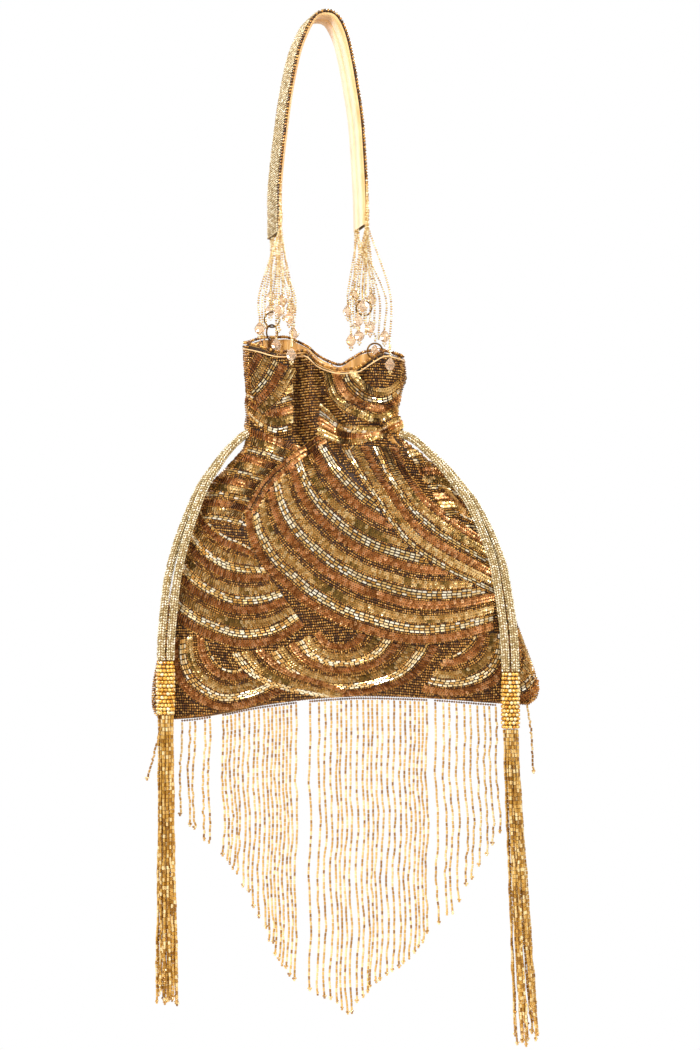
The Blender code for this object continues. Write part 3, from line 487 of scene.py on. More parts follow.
# Pouch: outlines as (z, x) from the rim down, half depth as (z, y)
RIM_Z = -194.0
NECK_Z = -241.0
HEM_Z = -394.0
LEFT_EDGE = [(-194.0, -45.6), (-208.0, -44.6), (-217.0, -43.6), (-222.0, -44.6), (-227.0, -43.6),
             (-234.0, -44.6), (-241.0, -43.6), (-247.5, -45.6), (-254.5, -51.4), (-266.0, -62.5),
             (-277.0, -70.2), (-300.0, -79.0), (-335.0, -88.4), (-365.0, -95.6), (-376.0, -98.2),
             (-385.0, -98.9), (-391.0, -97.4), (-394.0, -94.4)]
RIGHT_EDGE = [(-194.0, 48.6), (-204.0, 49.6), (-214.0, 47.3), (-220.5, 45.8), (-226.0, 44.8),
              (-234.0, 47.6), (-241.0, 47.4), (-249.0, 56.4), (-261.0, 71.8), (-273.0, 85.4),
              (-286.0, 93.8), (-306.0, 101.2), (-326.0, 107.2), (-346.0, 113.4), (-362.0, 119.6),
              (-375.0, 124.6), (-385.0, 127.2), (-391.0, 125.6), (-394.0, 121.4)]
HALF_DEPTH = [(-194.0, 19.0), (-215.0, 16.5), (-241.0, 14.5), (-252.0, 17.0), (-270.0, 21.5),
              (-300.0, 25.5), (-330.0, 26.5), (-355.0, 23.0), (-375.0, 15.5), (-386.0, 9.0),
              (-391.0, 5.2), (-394.0, 2.4)]
SECTION_POWER = [(-194.0, 0.9), (-241.0, 0.95), (-290.0, 1.2), (-394.0, 1.25)]
# Height of the rim above RIM_Z, across the front and the back, as (share of the width, z)
FRONT_RIM = [(0.0, 6.5), (0.08, 4.5), (0.24, 0.5), (0.38, 1.5), (0.46, -5.0), (0.6, -10.0),
             (0.7, -9.0), (0.8, -3.0), (0.88, 1.0), (0.95, 0.0), (1.0, -1.5)]
BACK_RIM = [(0.0, 6.5), (0.1, 9.5), (0.24, 10.5), (0.38, 6.0), (0.47, -0.5), (0.6, -5.5),
            (0.68, -2.0), (0.76, 2.0), (0.86, 3.0), (0.95, 0.5), (1.0, -1.5)]
RIM_FADE_Z = -226.0
# Height of the hem above HEM_Z across the width
HEM_RISE = [(0.0, -10.5), (0.08, -9.5), (0.16, -7.0), (0.28, -2.0), (0.42, 1.6), (0.55, 3.2),
            (0.72, 2.2), (0.9, -0.6), (1.0, -1.8)]
HEM_FADE_Z = -330.0
# Pleats: route on the cloth as (x, z), depth, half width
FRONT_PLEATS = [
    ([(-12.5, -194.0), (-13.5, -215.0), (-11.5, -238.0), (-8.5, -250.0)], 8.5, 4.8),
    ([(-1.5, -192.0), (-0.5, -208.0)], 8.0, 4.6),
    ([(2.0, -219.0), (7.5, -232.0), (11.5, -248.0)], 7.0, 6.0),
    ([(23.5, -200.0), (25.5, -216.0)], 5.0, 4.6),
    ([(16.5, -219.0), (31.5, -222.5), (43.5, -226.0)], 3.6, 4.6),
    ([(31.5, -234.0), (48.5, -257.0), (68.5, -271.0), (82.0, -284.0)], 5.5, 5.2),
    ([(-20.5, -243.0), (-51.5, -280.0)], 4.0, 5.6),
    ([(26.0, -246.0), (34.0, -262.0)], 2.4, 5.0),
]
FOLD_SHARE = 1.5        # the cloth's pleats are this much deeper than the part's
BACK_PLEAT_XS = (-33.0, -20.0, -7.0, 6.0, 19.5, 33.0)
BACK_PLEAT_FAN = 1.55   # how far the pleats spread below the neck
BACK_PLEAT_END_Z = -284.0
BACK_PLEAT_DEPTH = 5.2
BACK_PLEAT_WIDTH = 4.8
SEAM_EXTRA = 1.2        # share by which the side seams thicken towards the bottom corners

# Drawcords: two ropes a side, as (x, y, z) down the middle of the pair
ROPE_WIDTH = 5.4
ROPE_GAP = 0.3
LEFT_ROUTE = [(-46.8, -3.0, -241.6), (-53.0, -5.5, -247.6), (-58.2, -8.5, -254.8),
              (-63.6, -10.5, -262.4), (-68.6, -11.2, -270.4), (-73.2, -11.6, -281.4),
              (-79.4, -12.4, -298.6), (-83.4, -12.9, -313.0), (-86.0, -13.2, -326.4),
              (-87.8, -13.4, -343.4), (-89.0, -13.5, -358.0), (-89.3, -13.5, -369.7)]
RIGHT_ROUTE = [(53.0, -3.8, -241.8), (58.2, -6.3, -246.0), (65.0, -8.8, -252.2),
               (72.4, -10.8, -260.0), (79.6, -11.4, -269.0), (88.2, -12.0, -280.8),
               (95.2, -12.6, -295.6), (100.6, -13.2, -309.0), (103.6, -13.5, -322.0),
               (106.6, -13.6, -340.6), (108.6, -13.7, -359.0), (109.2, -13.7, -376.2)]
ROPE_STEPS = 12
ROPE_TWIST = 1.25       # the pair has turned fully before its lower end

# Tassels: a beaded cap on the ropes' ends and a skirt of bead strands under it
CAP_WIDTH = 11.0
CAP_END_WIDTH = 9.6
KNUCKLE = 2.6           # depth of a joint's axis under the rounded top of the piece that turns on it
LEFT_CAP_LENGTH = 30.8
RIGHT_CAP_LENGTH = 32.5
LEFT_SKIRT_LENGTH = 168.0
RIGHT_SKIRT_LENGTH = 183.0

# Fringe: strands on a bead row under the hem, in four groups with gaps between them
FRINGE_HEAD = 1.6
FRINGE_GAP = 0.65       # room for the bead row to turn under the hem
FRINGE_WAVE = 0.7
FRINGE_WAVE_LENGTH = 60.0
FRINGE_STRANDS = {
    "fringe_1": [-80.6, -76.0, -73.1, -67.3, -64.4],
    "fringe_2": [-56.8, -54.5, -52.3, -49.9, -47.5, -44.7, -41.8, -38.8, -36.3, -33.1, -30.7,
                 -28.4, -26.2, -24.0, -21.8, -19.6, -17.4, -14.5],
    "fringe_3": [-6.4, -1.2, 2.3, 5.8, 9.3, 11.6, 14.5, 17.4, 20.9, 24.4, 27.3, 29.6, 32.5,
                 35.4, 38.9, 42.3, 45.8, 48.7, 51.6, 54.2, 56.6, 58.9, 61.2],
    "fringe_4": [66.1, 70.8, 74.2, 78.3, 82.9, 86.4, 90.5, 94.5, 97.4, 101.2],
}
# Lowest point of the fringe as (x, z)
FRINGE_ENDS = [(-82.0, -463.0), (-64.0, -479.0), (-51.0, -492.0), (-39.5, -512.0), (-34.0, -526.0),
               (-24.0, -545.0), (-11.0, -560.0), (8.0, -570.5), (15.5, -578.0), (22.0, -568.0),
               (44.0, -552.5), (55.5, -540.0), (62.0, -531.0), (75.5, -516.0), (86.5, -497.0),
               (97.0, -479.0), (103.5, -467.0)]
# Single strands at the two corners of the hem, as top x and bottom (x, z)
CORNER_STRANDS = {
    "fringe_corner_left": (-92.5, (-100.0, -440.0)),
    "fringe_corner_right": (119.5, (124.0, -436.0)),
}

# Strands of the handle: depth slot y, then the drop's centre (x, y, z)
LEFT_STRANDS = [
    (-9.4, (-24.2, -12.1, -168.4)),
    (-7.9, (-18.3, -10.6, -172.1)),
    (-6.3, (-25.8, -8.2, -187.6)),
    (-4.7, (-35.4, -6.2, -178.1)),
    (2.9, (-22.6, 2.9, -161.2)),
    (4.5, (-15.7, 6.6, -179.8)),
    (6.1, (-29.6, 8.8, -166.5)),
    (7.7, (-17.4, 10.6, -165.3)),
    (9.3, (-29.3, 12.0, -158.4)),
]
RIGHT_STRANDS = [
    (-9.4, (24.1, -12.1, -165.6)),
    (-7.9, (21.5, -10.7, -173.8)),
    (-6.3, (28.4, -8.9, -177.5)),
    (-4.7, (17.4, -7.2, -185.0)),
    (2.9, (22.2, 2.9, -181.5)),
    (4.5, (36.9, 5.6, -181.9)),
    (6.1, (15.6, 8.8, -167.0)),
    (7.7, (29.4, 10.4, -159.9)),
    (9.3, (19.4, 12.0, -157.0)),
]
# Strands that end on a ring, as depth slot y and the lower end (x, y, z)
LEFT_CARRIERS = [(-1.6, (-29.2, 0.0)), (1.3, (-27.6, 0.0))]
RIGHT_CARRIERS = [(-1.6, (24.1, 0.0)), (1.3, (25.7, 0.0))]
# Two long strands pass the hanging axis and lie over the front of the rim
LEFT_OVER_RIM = (-3.1, -16.8, [(-16.8, -7.5, -184.4), (-16.8, -14.6, -187.2), (-16.8, -20.2, -189.0)],
                 (-16.8, -21.0, -194.0))
RIGHT_OVER_RIM = (-3.1, 39.8, [(39.8, -6.0, -187.6), (39.8, -12.5, -187.6), (39.8, -17.4, -190.0)],
                  (39.8, -18.6, -199.5))


# Places as in the part, except that strand_start puts the strands where the photograph shows them

def strap_outline():
    """Points (x, z) of the band's outer face with outward normals, left end to right end."""
    flat = [(-STRAP_FLAT, STRAP_TOP), (STRAP_FLAT, STRAP_TOP)]
    route = STRAP_LEFT + flat + STRAP_RIGHT
    result = []
    for i, (x, z) in enumerate(route):
        x0, z0 = route[max(i - 1, 0)]
        x1, z1 = route[min(i + 1, len(route) - 1)]
        normal = Vector((z0 - z1, x1 - x0)).normalized()
        if (x, z) in flat:
            normal = Vector((0.0, 1.0))
        result.append((Vector((x, z)), normal))
    return result


def strap_point(station, across, inward):
    """Point of the band: across is towards the front edge, inward is under the outer face."""
    (spot, normal), turn = station, math.radians(STRAP_TURN_DEG)
    x, z = spot - normal * inward
    return Vector((x + across * math.sin(turn), -across * math.cos(turn),
                   z + across * math.tan(math.radians(STRAP_ROLL_DEG))))


def left_lower_ring_centre():
    x, y, z = LEFT_LINK
    return (x, y, z + RING_WIRE + SEAT_GAP - RING_RADIUS)


def right_lower_ring_centre():
    x, y, z = RIGHT_LINK
    return (x, y, z - RING_RADIUS)


def strand_start(side, slot):
    """Top of a strand: the front ones are stitched along the strap's front edge, the rest in its end."""
    stations = strap_outline()
    leg = stations[:4] if side == "left" else stations[-4:][::-1]
    if slot > 2.0:
        low = strap_point(leg[0], -slot, STRAP_TOP * 0.5)
        return [Vector((low.x, low.y, low.z + 1.5)), Vector((low.x, low.y, low.z - 4.0))]
    share = (slot + 9.4) / 11.4
    high = strap_point(leg[2], STRAP_WIDTH / 2 + 1.6, 1.6)
    low = strap_point(leg[0], STRAP_WIDTH / 2 + 1.2, 1.6)
    top = high.lerp(low, share)
    return [top, top.lerp(low, 0.6) + Vector((0, -0.5, -8.0 * share))]


def axis_height(x):
    """Height of the hanging axis at x: a straight line through the two links."""
    (x0, _, z0), (x1, _, z1) = LEFT_LINK, RIGHT_LINK
    return z0 + (z1 - z0) * (x - x0) / (x1 - x0)


def route_distance(route, x, z):
    best = None
    for (x0, z0), (x1, z1) in zip(route, route[1:]):
        dx, dz = x1 - x0, z1 - z0
        u = max(0.0, min(1.0, ((x - x0) * dx + (z - z0) * dz) / (dx * dx + dz * dz)))
        d = math.hypot(x - x0 - u * dx, z - z0 - u * dz)
        best = d if best is None else min(best, d)
    return best


def pleats(side):
    if side == "front":
        return FRONT_PLEATS
    return [([(x, RIM_Z), (0.95 * x, NECK_Z), (BACK_PLEAT_FAN * x, BACK_PLEAT_END_Z)],
             BACK_PLEAT_DEPTH, BACK_PLEAT_WIDTH) for x in BACK_PLEAT_XS]


def fold_depth(side, x, z):
    total = 0.0
    for route, depth, width in pleats(side):
        total += depth * math.exp(-(route_distance(route, x, z) / width) ** 2)
    return total * FOLD_SHARE


def cloth_point(side, share, level, inset):
    """Point of the pouch's wall, inset millimetres under its outer surface."""
    left, right = table(LEFT_EDGE, level), table(RIGHT_EDGE, level)
    around = math.acos(1 - 2 * share)
    middle, reach = 0.5 * (left + right), 0.5 * (right - left)
    hem_weight = max(0.0, (HEM_FADE_Z - level) / (HEM_FADE_Z - HEM_Z))
    x = middle - (reach - inset * (1 + SEAM_EXTRA * hem_weight)) * math.cos(around)
    bulge = math.sin(around) ** table(SECTION_POWER, level)
    fold = fold_depth(side, middle - reach * math.cos(around), level) * min(1.0, 2.2 * bulge) ** 2
    depth = (table(HALF_DEPTH, level) - inset) * bulge - fold
    rim = FRONT_RIM if side == "front" else BACK_RIM
    rim_weight = max(0.0, (level - RIM_FADE_Z) / (RIM_Z - RIM_FADE_Z))
    z = level + table(rim, share) * rim_weight ** 1.5 + table(HEM_RISE, share) * hem_weight
    return Vector((x, -depth if side == "front" else depth, z))


def rope_route(route, place):
    """One rope of a pair: the pair lies one behind the other at the neck, side by side below."""
    apart = (ROPE_WIDTH + ROPE_GAP) / 2
    points = smooth_path(route, ROPE_STEPS + 1)
    result = []
    for i, p in enumerate(points):
        turn = 0.5 * math.pi * (1 - min(1.0, ROPE_TWIST * i / ROPE_STEPS))
        offset = Vector((math.cos(turn), -math.sin(turn) * (1 if route[0][0] < 0 else -1), 0))
        result.append(p + offset * place * apart)
    return result


def hem_height(x):
    """Height of the lower edge of the pouch at x."""
    left, right = table(LEFT_EDGE, HEM_Z), table(RIGHT_EDGE, HEM_Z)
    return HEM_Z + table(HEM_RISE, min(max((x - left) / (right - left), 0.0), 1.0))


# Where things lie on the cloth

def cloth_grid(inset, columns, levels):
    """Front and back grids of the pouch's wall, levels by columns by 3."""
    steps = np.linspace(0, 1, columns + 1)
    shares = (1 - np.cos(np.pi * steps)) / 4 + steps / 2
    rows = np.linspace(RIM_Z, HEM_Z, levels + 1)
    return {side: np.array([[cloth_point(side, s, z, inset)[:] for s in shares] for z in rows])
            for side in ("front", "back")}


def grid_tree(grid):
    """Search tree of one side of the cloth."""
    rows, columns, _ = grid.shape
    faces = [(i * columns + k, i * columns + k + 1, (i + 1) * columns + k + 1, (i + 1) * columns + k)
             for i in range(rows - 1) for k in range(columns - 1)]
    return BVHTree.FromPolygons([tuple(v) for v in grid.reshape(-1, 3)], faces)


RAY_START = 90.0        # distance from the middle plane, outside the pouch


def drop_on_cloth(tree, side, flat):
    """Runs of points and outward normals where a flat line (x, z) meets the cloth of one side."""
    look = 1.0 if side == "front" else -1.0
    runs, spots, normals = [], [], []
    for x, z in flat:
        hit, normal, _, _ = tree.ray_cast(Vector((x, -RAY_START * look, z)), Vector((0, look, 0)))
        if hit is None:
            if len(spots) > 2:
                runs.append((np.array(spots), np.array(normals)))
            spots, normals = [], []
            continue
        if normal.y * look > 0:
            normal = -normal
        spots.append(hit[:])
        normals.append(normal[:])
    if len(spots) > 2:
        runs.append((np.array(spots), np.array(normals)))
    return runs


def inside(outline, x, z):
    """True for each place inside a closed outline of (x, z) points."""
    result = np.zeros(len(x), bool)
    x0, z0 = outline[-1]
    for x1, z1 in outline:
        if z0 != z1:
            crosses = ((z0 > z) != (z1 > z)) & (x < (x1 - x0) * (z - z0) / (z1 - z0) + x0)
            result ^= crosses
        x0, z0 = x1, z1
    return result


# Embroidery: fans of bead rows. Each fan has an outer and an inner edge on the photograph; the rows
# go from the outer edge inwards. Later fans lie over earlier ones.

ROW_WIDTH = {"seed": 1.42, "copper": 2.15, "gold": 2.15, "bugle": 1.62}
CYCLE = ["seed", "copper", "copper", "seed", "bugle", "bugle", "bugle", "seed", "gold", "gold",
         "seed", "seed"]
FROM_BUGLES = CYCLE[4:] + CYCLE[:4]
UPPER_RIGHT = ["seed", "bugle", "bugle", "seed", "gold", "gold", "seed", "copper", "copper", "seed"]
STRIPES = ["seed", "seed", "bugle", "bugle", "seed", "gold", "gold", "seed", "copper", "copper"]
LOBE = ["seed", "gold", "gold", "seed", "copper", "copper", "seed", "bugle", "bugle"]
RIDGE = ["seed", "copper", "seed", "copper", "seed"]

FRONT_FANS = [
    (CYCLE, [(172, 640), (172, 668), (182, 690), (200, 704), (225, 712), (260, 704), (290, 690)],
     [(208, 634), (210, 645), (214, 655), (220, 663), (228, 668), (238, 668), (246, 664)]),
    (CYCLE, [(420, 692), (445, 697), (470, 695), (495, 686), (508, 668), (512, 648), (512, 635)],
     [(446, 655), (452, 655), (458, 652), (464, 648), (470, 642), (474, 636), (476, 630)]),
    (CYCLE, [(505, 705), (525, 703), (540, 692), (541, 675), (534, 655), (524, 630)],
     [(505, 670), (511, 668), (516, 662), (518, 652), (516, 640), (512, 628)]),
    (CYCLE, [(262, 655), (280, 676), (306, 690), (340, 697), (380, 692), (412, 680), (432, 660),
             (440, 645)],
     [(322, 630), (326, 637), (333, 641), (341, 642), (349, 640), (355, 635), (358, 630), (360, 626)]),
    (FROM_BUGLES, [(232, 652), (243, 668), (259, 680), (280, 688), (306, 694), (340, 698)],
     [(262, 648), (275, 660), (290, 670), (306, 676), (325, 682), (345, 690)]),
    (STRIPES, [(176, 524), (198, 522), (222, 524), (245, 530)],
     [(250, 428), (268, 434), (288, 442), (308, 450)]),
    (CYCLE, [(152, 600), (168, 614), (190, 630), (215, 641), (246, 648), (280, 642), (306, 625)],
     [(196, 488), (201, 510), (210, 524), (222, 534), (232, 539), (242, 543), (252, 549)]),
    (CYCLE, [(245, 508), (247, 530), (253, 549), (265, 570), (281, 585), (300, 602), (317, 613),
             (340, 625), (364, 633), (392, 641), (420, 644), (455, 640), (492, 630)],
     [(326, 440), (333, 451), (340, 462), (348, 471), (356, 480), (366, 489), (376, 496), (388, 503),
      (400, 508), (430, 516), (446, 518), (462, 520), (495, 524)]),
    (RIDGE, [(245, 508), (262, 480), (290, 455), (320, 433)],
     [(256, 514), (271, 489), (297, 464), (327, 443)]),
    (UPPER_RIGHT, [(340, 447), (352, 468), (368, 492), (383, 515), (399, 538), (420, 557), (445, 572),
                   (470, 584), (497, 597)],
     [(400, 447), (404, 459), (407, 470), (416, 483), (425, 495), (432, 501), (440, 507), (465, 525),
      (490, 541)]),
    (STRIPES, [(448, 520), (462, 520), (480, 528)],
     [(398, 436), (415, 436), (432, 448)]),
    (STRIPES, [(248, 414), (258, 428), (275, 438), (292, 436)],
     [(244, 384), (256, 388), (272, 388), (292, 380)]),
    (LOBE, [(262, 418), (282, 400), (298, 372)],
     [(244, 372), (250, 362), (256, 352)]),
    (LOBE, [(318, 438), (345, 446), (375, 440), (402, 428)],
     [(320, 404), (345, 424), (375, 428), (402, 416)]),
    (LOBE, [(322, 372), (330, 400), (352, 418), (380, 424), (402, 412)],
     [(352, 364), (360, 378), (374, 388), (388, 388), (398, 380)]),
]
FIELD_ROW_STEP = 1.55

# The back repeats overlapping scallops
SCALLOP_RADIUS = 34.0
SCALLOP_HEART = 3.0
SCALLOP_STEP = (48.0, 29.0)


def flat_fan(kinds, outer, inner):
    """A fan whose edges are given on the photograph, in millimetres."""
    return kinds, [front_place(p) for p in outer], [front_place(p) for p in inner]


def back_fans():
    fans = []
    step_x, step_z = SCALLOP_STEP
    for row in range(8):
        z = HEM_Z + 6 + row * step_z
        for k in range(-3, 4):
            x = 14 + (k + 0.5 * (row % 2)) * step_x
            angles = [math.pi * (1.04 + 0.92 * i / 12) for i in range(13)]
            edges = [[(x + r * math.cos(a), z + SCALLOP_RADIUS * 0.55 + r * math.sin(a)) for a in angles]
                     for r in (SCALLOP_RADIUS, SCALLOP_HEART)]
            fans.append((CYCLE, edges[0], edges[1]))
    return fans


def fan_rows(fan):
    """Rows of a fan as (kind, flat line)."""
    kinds, outer, inner = fan
    outer, inner = smooth_path(outer, 60), smooth_path(inner, 60)
    depth = float(np.linalg.norm(outer - inner, axis=1).max())
    rows, offset, k = [], 0.0, 0
    while True:
        kind = kinds[k % len(kinds)]
        offset += ROW_WIDTH[kind] / 2
        if offset > depth:
            return rows
        share = offset / depth
        rows.append((kind, outer * (1 - share) + inner * share))
        offset += ROW_WIDTH[kind] / 2
        k += 1


SEQUIN_LEAN = 0.62      # radians by which a sequin leans on the one before it
SEQUIN_LIFT = 0.45
BEAD_OF = {"seed": SEED, "copper": SEQUIN, "gold": SEQUIN, "bugle": BUGLE}


def row_beads(kind, spots, normals):
    frames = string_frames(spots, normals, BEAD_OF[kind], jitter=0.07,
                           tilt=SEQUIN_LEAN if BEAD_OF[kind] is SEQUIN else 0.0)
    if BEAD_OF[kind] is SEQUIN and len(frames):
        frames[:, 0] *= SEQUIN[0] / SEQUIN[1]
        frames[:, 2] *= SEQUIN[1] / SEQUIN[0]
        frames[:, 3] += unit(frames[:, 2]) * SEQUIN_LIFT
    return frames


def plain_field():
    """Plain seed rows over a whole side. They are kept only between the fans."""
    rows = []
    for k in range(int((RIM_Z - HEM_Z + 20) / FIELD_ROW_STEP)):
        z = HEM_Z - 14 + k * FIELD_ROW_STEP
        rows.append(np.array([(x, z + 1.5 * math.sin(x / 17)) for x in np.linspace(-105, 132, 150)]))
    return rows


def embroider(side, fans, tree):
    """Beads of one side: kind to frames. A bead stays where no later fan lies over it."""
    outlines = [list(map(tuple, smooth_path(outer, 60))) + list(map(tuple, smooth_path(inner, 60)))[::-1]
                for _, outer, inner in fans]
    layers = [[("seed", row) for row in plain_field()]] + [fan_rows(fan) for fan in fans]
    beads = {"field": [], "seed": [], "copper": [], "gold": [], "bugle": []}
    for number, rows in enumerate(layers):
        for kind, flat in rows:
            for spots, normals in drop_on_cloth(tree, side, resample(flat, 110)):
                frames = row_beads(kind, spots, normals)
                if not len(frames):
                    continue
                x, z = frames[:, 3, 0], frames[:, 3, 2]
                keep = np.ones(len(frames), bool)
                for outline in outlines[number:]:
                    keep &= ~inside(outline, x, z)
                beads[kind if number else "field"].append(frames[keep])
    return beads


SEAM_ROWS = 7
SEAM_ROW_TURN = 0.055   # radians round the pouch's section from one row to the next


def seam_beads():
    """Seed rows down both side seams, where the front's and the back's rows end."""
    rows = []
    for side in ("front", "back"):
        for sign in (0, 1):
            for k in range(SEAM_ROWS):
                around = 0.02 + SEAM_ROW_TURN * k
                share = (1 - math.cos(around)) / 2
                share = 1 - share if sign else share
                pts = np.array([cloth_point(side, share, z, 0.5)[:]
                                for z in np.linspace(RIM_Z, HEM_Z, 60)])
                out = np.array([(1.0 if sign else -1.0, (-1.0 if side == "front" else 1.0) * around * 2.5,
                                 0.0)])
                rows.append(string_frames(pts, np.repeat(unit(out), 60, axis=0), SEED, jitter=0.05))
    return rows


def patchy_tones(frames, low_share):
    """Tones that dip in soft patches, as tarnish does."""
    spots = frames[:, 3]
    wave = np.sin(spots[:, 0] * 0.11 + 1.3) * np.sin(spots[:, 2] * 0.09 + 0.4)
    wave += 0.5 * np.sin(spots[:, 0] * 0.27 + spots[:, 2] * 0.21)
    tones = random_tones(len(frames), 0.3, 1.0)
    low = (wave > 1.0 - 1.4 * low_share) & (rng.random(len(frames)) < 0.7)
    tones[low] = random_tones(int(low.sum()), 0.0, 0.3)
    return tones


def make_embroidery(shapes, mats):
    grid = cloth_grid(0.5, 110, 90)
    fans = {"front": [flat_fan(*fan) for fan in FRONT_FANS], "back": back_fans()}
    for side in ("front", "back"):
        beads = embroider(side, fans[side], grid_tree(grid[side]))
        if side == "back":
            beads["field"] += seam_beads()
        for kind, shape in (("field", "rung"), ("seed", "rung"), ("copper", "sequin"), ("gold", "sequin"),
                            ("bugle", "bugle")):
            frames = np.concatenate(beads[kind])
            tones = patchy_tones(frames, 0.35) if kind == "gold" else None
            finish = "seed" if kind == "field" else kind
            beaded("embroidery_{}_{}".format(kind, side), "bag", shapes, mats, shape, finish, [frames],
                   tones=tones, smooth=shape == "rung")


def make_cloth(name, inset, mat, replaced):
    """The pouch's cloth, round from seam to seam and from the rim to the hem."""
    grid = cloth_grid(inset, 70, 60)
    front, back = grid["front"], grid["back"]
    verts = []
    for i in range(len(front)):
        verts += list(front[i]) + list(back[i][-2:0:-1])
    around = 2 * (front.shape[1] - 1)
    faces = []
    for i in range(len(front) - 1):
        for k in range(around):
            a, b = i * around + k, i * around + (k + 1) % around
            faces.append((a, a + around, b + around, b))
    return finish_piece(mesh_piece(name, verts, faces), "bag", mat, replaced)


HEM_SPAN = (-93.5, 120.5)
CLOTH_INSET = 1.3       # the beads' backs lie on the cloth at this depth
LINING_INSET = 3.0


def make_pouch(shapes, mats):
    cloth = make_cloth("pouch_cloth", CLOTH_INSET, mats["ground"], ("shell",))
    lining = make_cloth("pouch_lining", LINING_INSET, mats["lining"], ("lining",))
    steps = np.linspace(0, 1, 60)
    shares = (1 - np.cos(np.pi * steps)) / 4 + steps / 2

    def rim(inset, drop, lift):
        front = [cloth_point("front", s, RIM_Z - drop, inset)[:] for s in shares]
        back = [cloth_point("back", s, RIM_Z - drop, inset)[:] for s in shares[::-1]]
        return np.array(front + back[1:]) + [0, 0, lift]

    loop = rim(1.0, 0.0, 1.5)
    beaded("piping_beads", "bag", shapes, mats, "seed", "seed",
           [string_frames(loop, (0, 0, 1), (2.1, 1.5, 1.6))], ("mouth_piping",))
    hem = np.array([(x, 0.0, hem_height(x) + 0.1) for x in np.linspace(*HEM_SPAN, 80)])
    hem_rows = [string_frames(hem + [0, dy, dz], (0, -1, 0), (1.7, 1.25, 1.4))
                for dy, dz in ((-1.5, 0.5), (0.0, 0.0), (1.5, 0.5))]
    beaded("hem_beads", "bag", shapes, mats, "rung", "seed", hem_rows,
           tones=random_tones(sum(len(r) for r in hem_rows), 0.0, 0.6))
    tube("mouth_thread", rim(0.0, 1.6, 0.0), 0.4, 6, "bag", mats["strap_lining"])


def path_axes(points):
    """Two directions square to a path at each of its points."""
    along = unit(np.gradient(points, axis=0))
    first = np.cross(along, np.tile([0.0, 1.0, 0.0], (len(points), 1)))
    first = unit(first)
    return first, np.cross(along, first)


def tube(name, points, radius, sides, body, mat, replaced=()):
    """Round thread or cord along a path."""
    a, b = path_axes(points)
    verts, faces = [], []
    for p, u, v in zip(points, a, b):
        for k in range(sides):
            t = 2 * math.pi * k / sides
            verts.append(p + (u * math.cos(t) + v * math.sin(t)) * radius)
    for i in range(len(points) - 1):
        for k in range(sides):
            n = (k + 1) % sides
            faces.append((i * sides + k, i * sides + n, (i + 1) * sides + n, (i + 1) * sides + k))
    faces.append(tuple(range(sides))[::-1])
    faces.append(tuple(range((len(points) - 1) * sides, len(points) * sides)))
    return finish_piece(mesh_piece(name, verts, faces), body, mat, replaced)


# Strap

def strap_line(across, inward, count=120):
    return smooth_path([strap_point(s, across, inward)[:] for s in strap_outline()], count)


def strap_sheet(name, profile, mat, replaced):
    """Open band whose section is a list of (across, inward)."""
    lines = [strap_line(across, inward) for across, inward in profile]
    count = len(lines[0])
    verts = [p for line in lines for p in line]
    faces = [(i * count + k, i * count + k + 1, (i + 1) * count + k + 1, (i + 1) * count + k)
             for i in range(len(lines) - 1) for k in range(count - 1)]
    return finish_piece(mesh_piece(name, verts, faces), "handle", mat, replaced)


STRAP_ROWS = 13


def make_strap(shapes, mats):
    half = STRAP_WIDTH / 2
    cover = strap_sheet("strap_cloth", [(half, 2.0), (half, 0.9), (0, 0.7), (-half, 0.9), (-half, 2.0)],
                        mats["ground"], ("strap_cover",))
    low = STRAP_TOP - 1.2
    profile = [(half, 1.9), (half, low - 0.5), (half - 0.6, low), (0.9, low), (0.3, low - 0.3),
               (-0.3, low - 0.3), (-0.9, low), (0.6 - half, low), (-half, low - 0.5), (-half, 1.9)]
    lining = strap_sheet("strap_satin", profile[::-1], mats["strap_lining"],
                         ("strap_lining",))
    rows = []
    for k in range(STRAP_ROWS):
        across = (k + 0.5) / STRAP_ROWS * STRAP_WIDTH - half
        line, under = strap_line(across, 0.35), strap_line(across, 1.35)
        rows.append(string_frames(line, line - under, (1.3, 1.1, 1.36), jitter=0.05))
    beaded("strap_beads", "handle", shapes, mats, "rung", "pale", rows)
    radius = STRAP_EDGE_BEAD / 2
    for name, side in (("strap_edge_front", 1), ("strap_edge_back", -1)):
        across = side * (half + SEAT_GAP + radius)
        line = strap_line(across, radius + SEAT_GAP)
        beaded("beads_" + name, "handle", shapes, mats, "rung", "seed",
               [string_frames(line, (0, -side, 0), (1.9, 1.4, 1.8))], (name,))


# Bead strands and drops

def three_beads(place):
    """Three small beads in a triangle at a strand's end."""
    x, y, z = place
    turn = rng.uniform(0, math.pi)
    dx, dy = 0.72 * math.cos(turn), 0.72 * math.sin(turn)
    frames = []
    for ex, ey, down in ((dx, dy, 0.5), (-dx, -dy, 0.5), (0.0, 0.0, 1.6)):
        frames.append([[0, 0, 1.2], [1.4, 0, 0], [0, 1.4, 0], [x + ex, y + ey, z - down]])
    return np.array(frames, float)


def drop_beads(x, y, top):
    """A cut drop whose point is at top, and the three small beads under it."""
    up = np.array([0.0, 0.0, 1.0])
    turn = rng.uniform(0, math.pi)
    side = np.array([math.cos(turn), math.sin(turn), 0.0])
    centre = np.array([x, y, top - DROP_HEIGHT / 2])
    drop = np.array([[up * DROP_HEIGHT, side * DROP_WIDTH, np.cross(up, side) * DROP_WIDTH, centre]])
    low = top - DROP_HEIGHT
    picot = []
    for dx, down in ((-0.75, 0.55), (0.75, 0.55), (0.0, 1.7)):
        picot.append([up * 1.2, [1.35, 0, 0], [0, 1.35, 0], [x + dx, y, low - down]])
    return drop, np.array(picot, float)


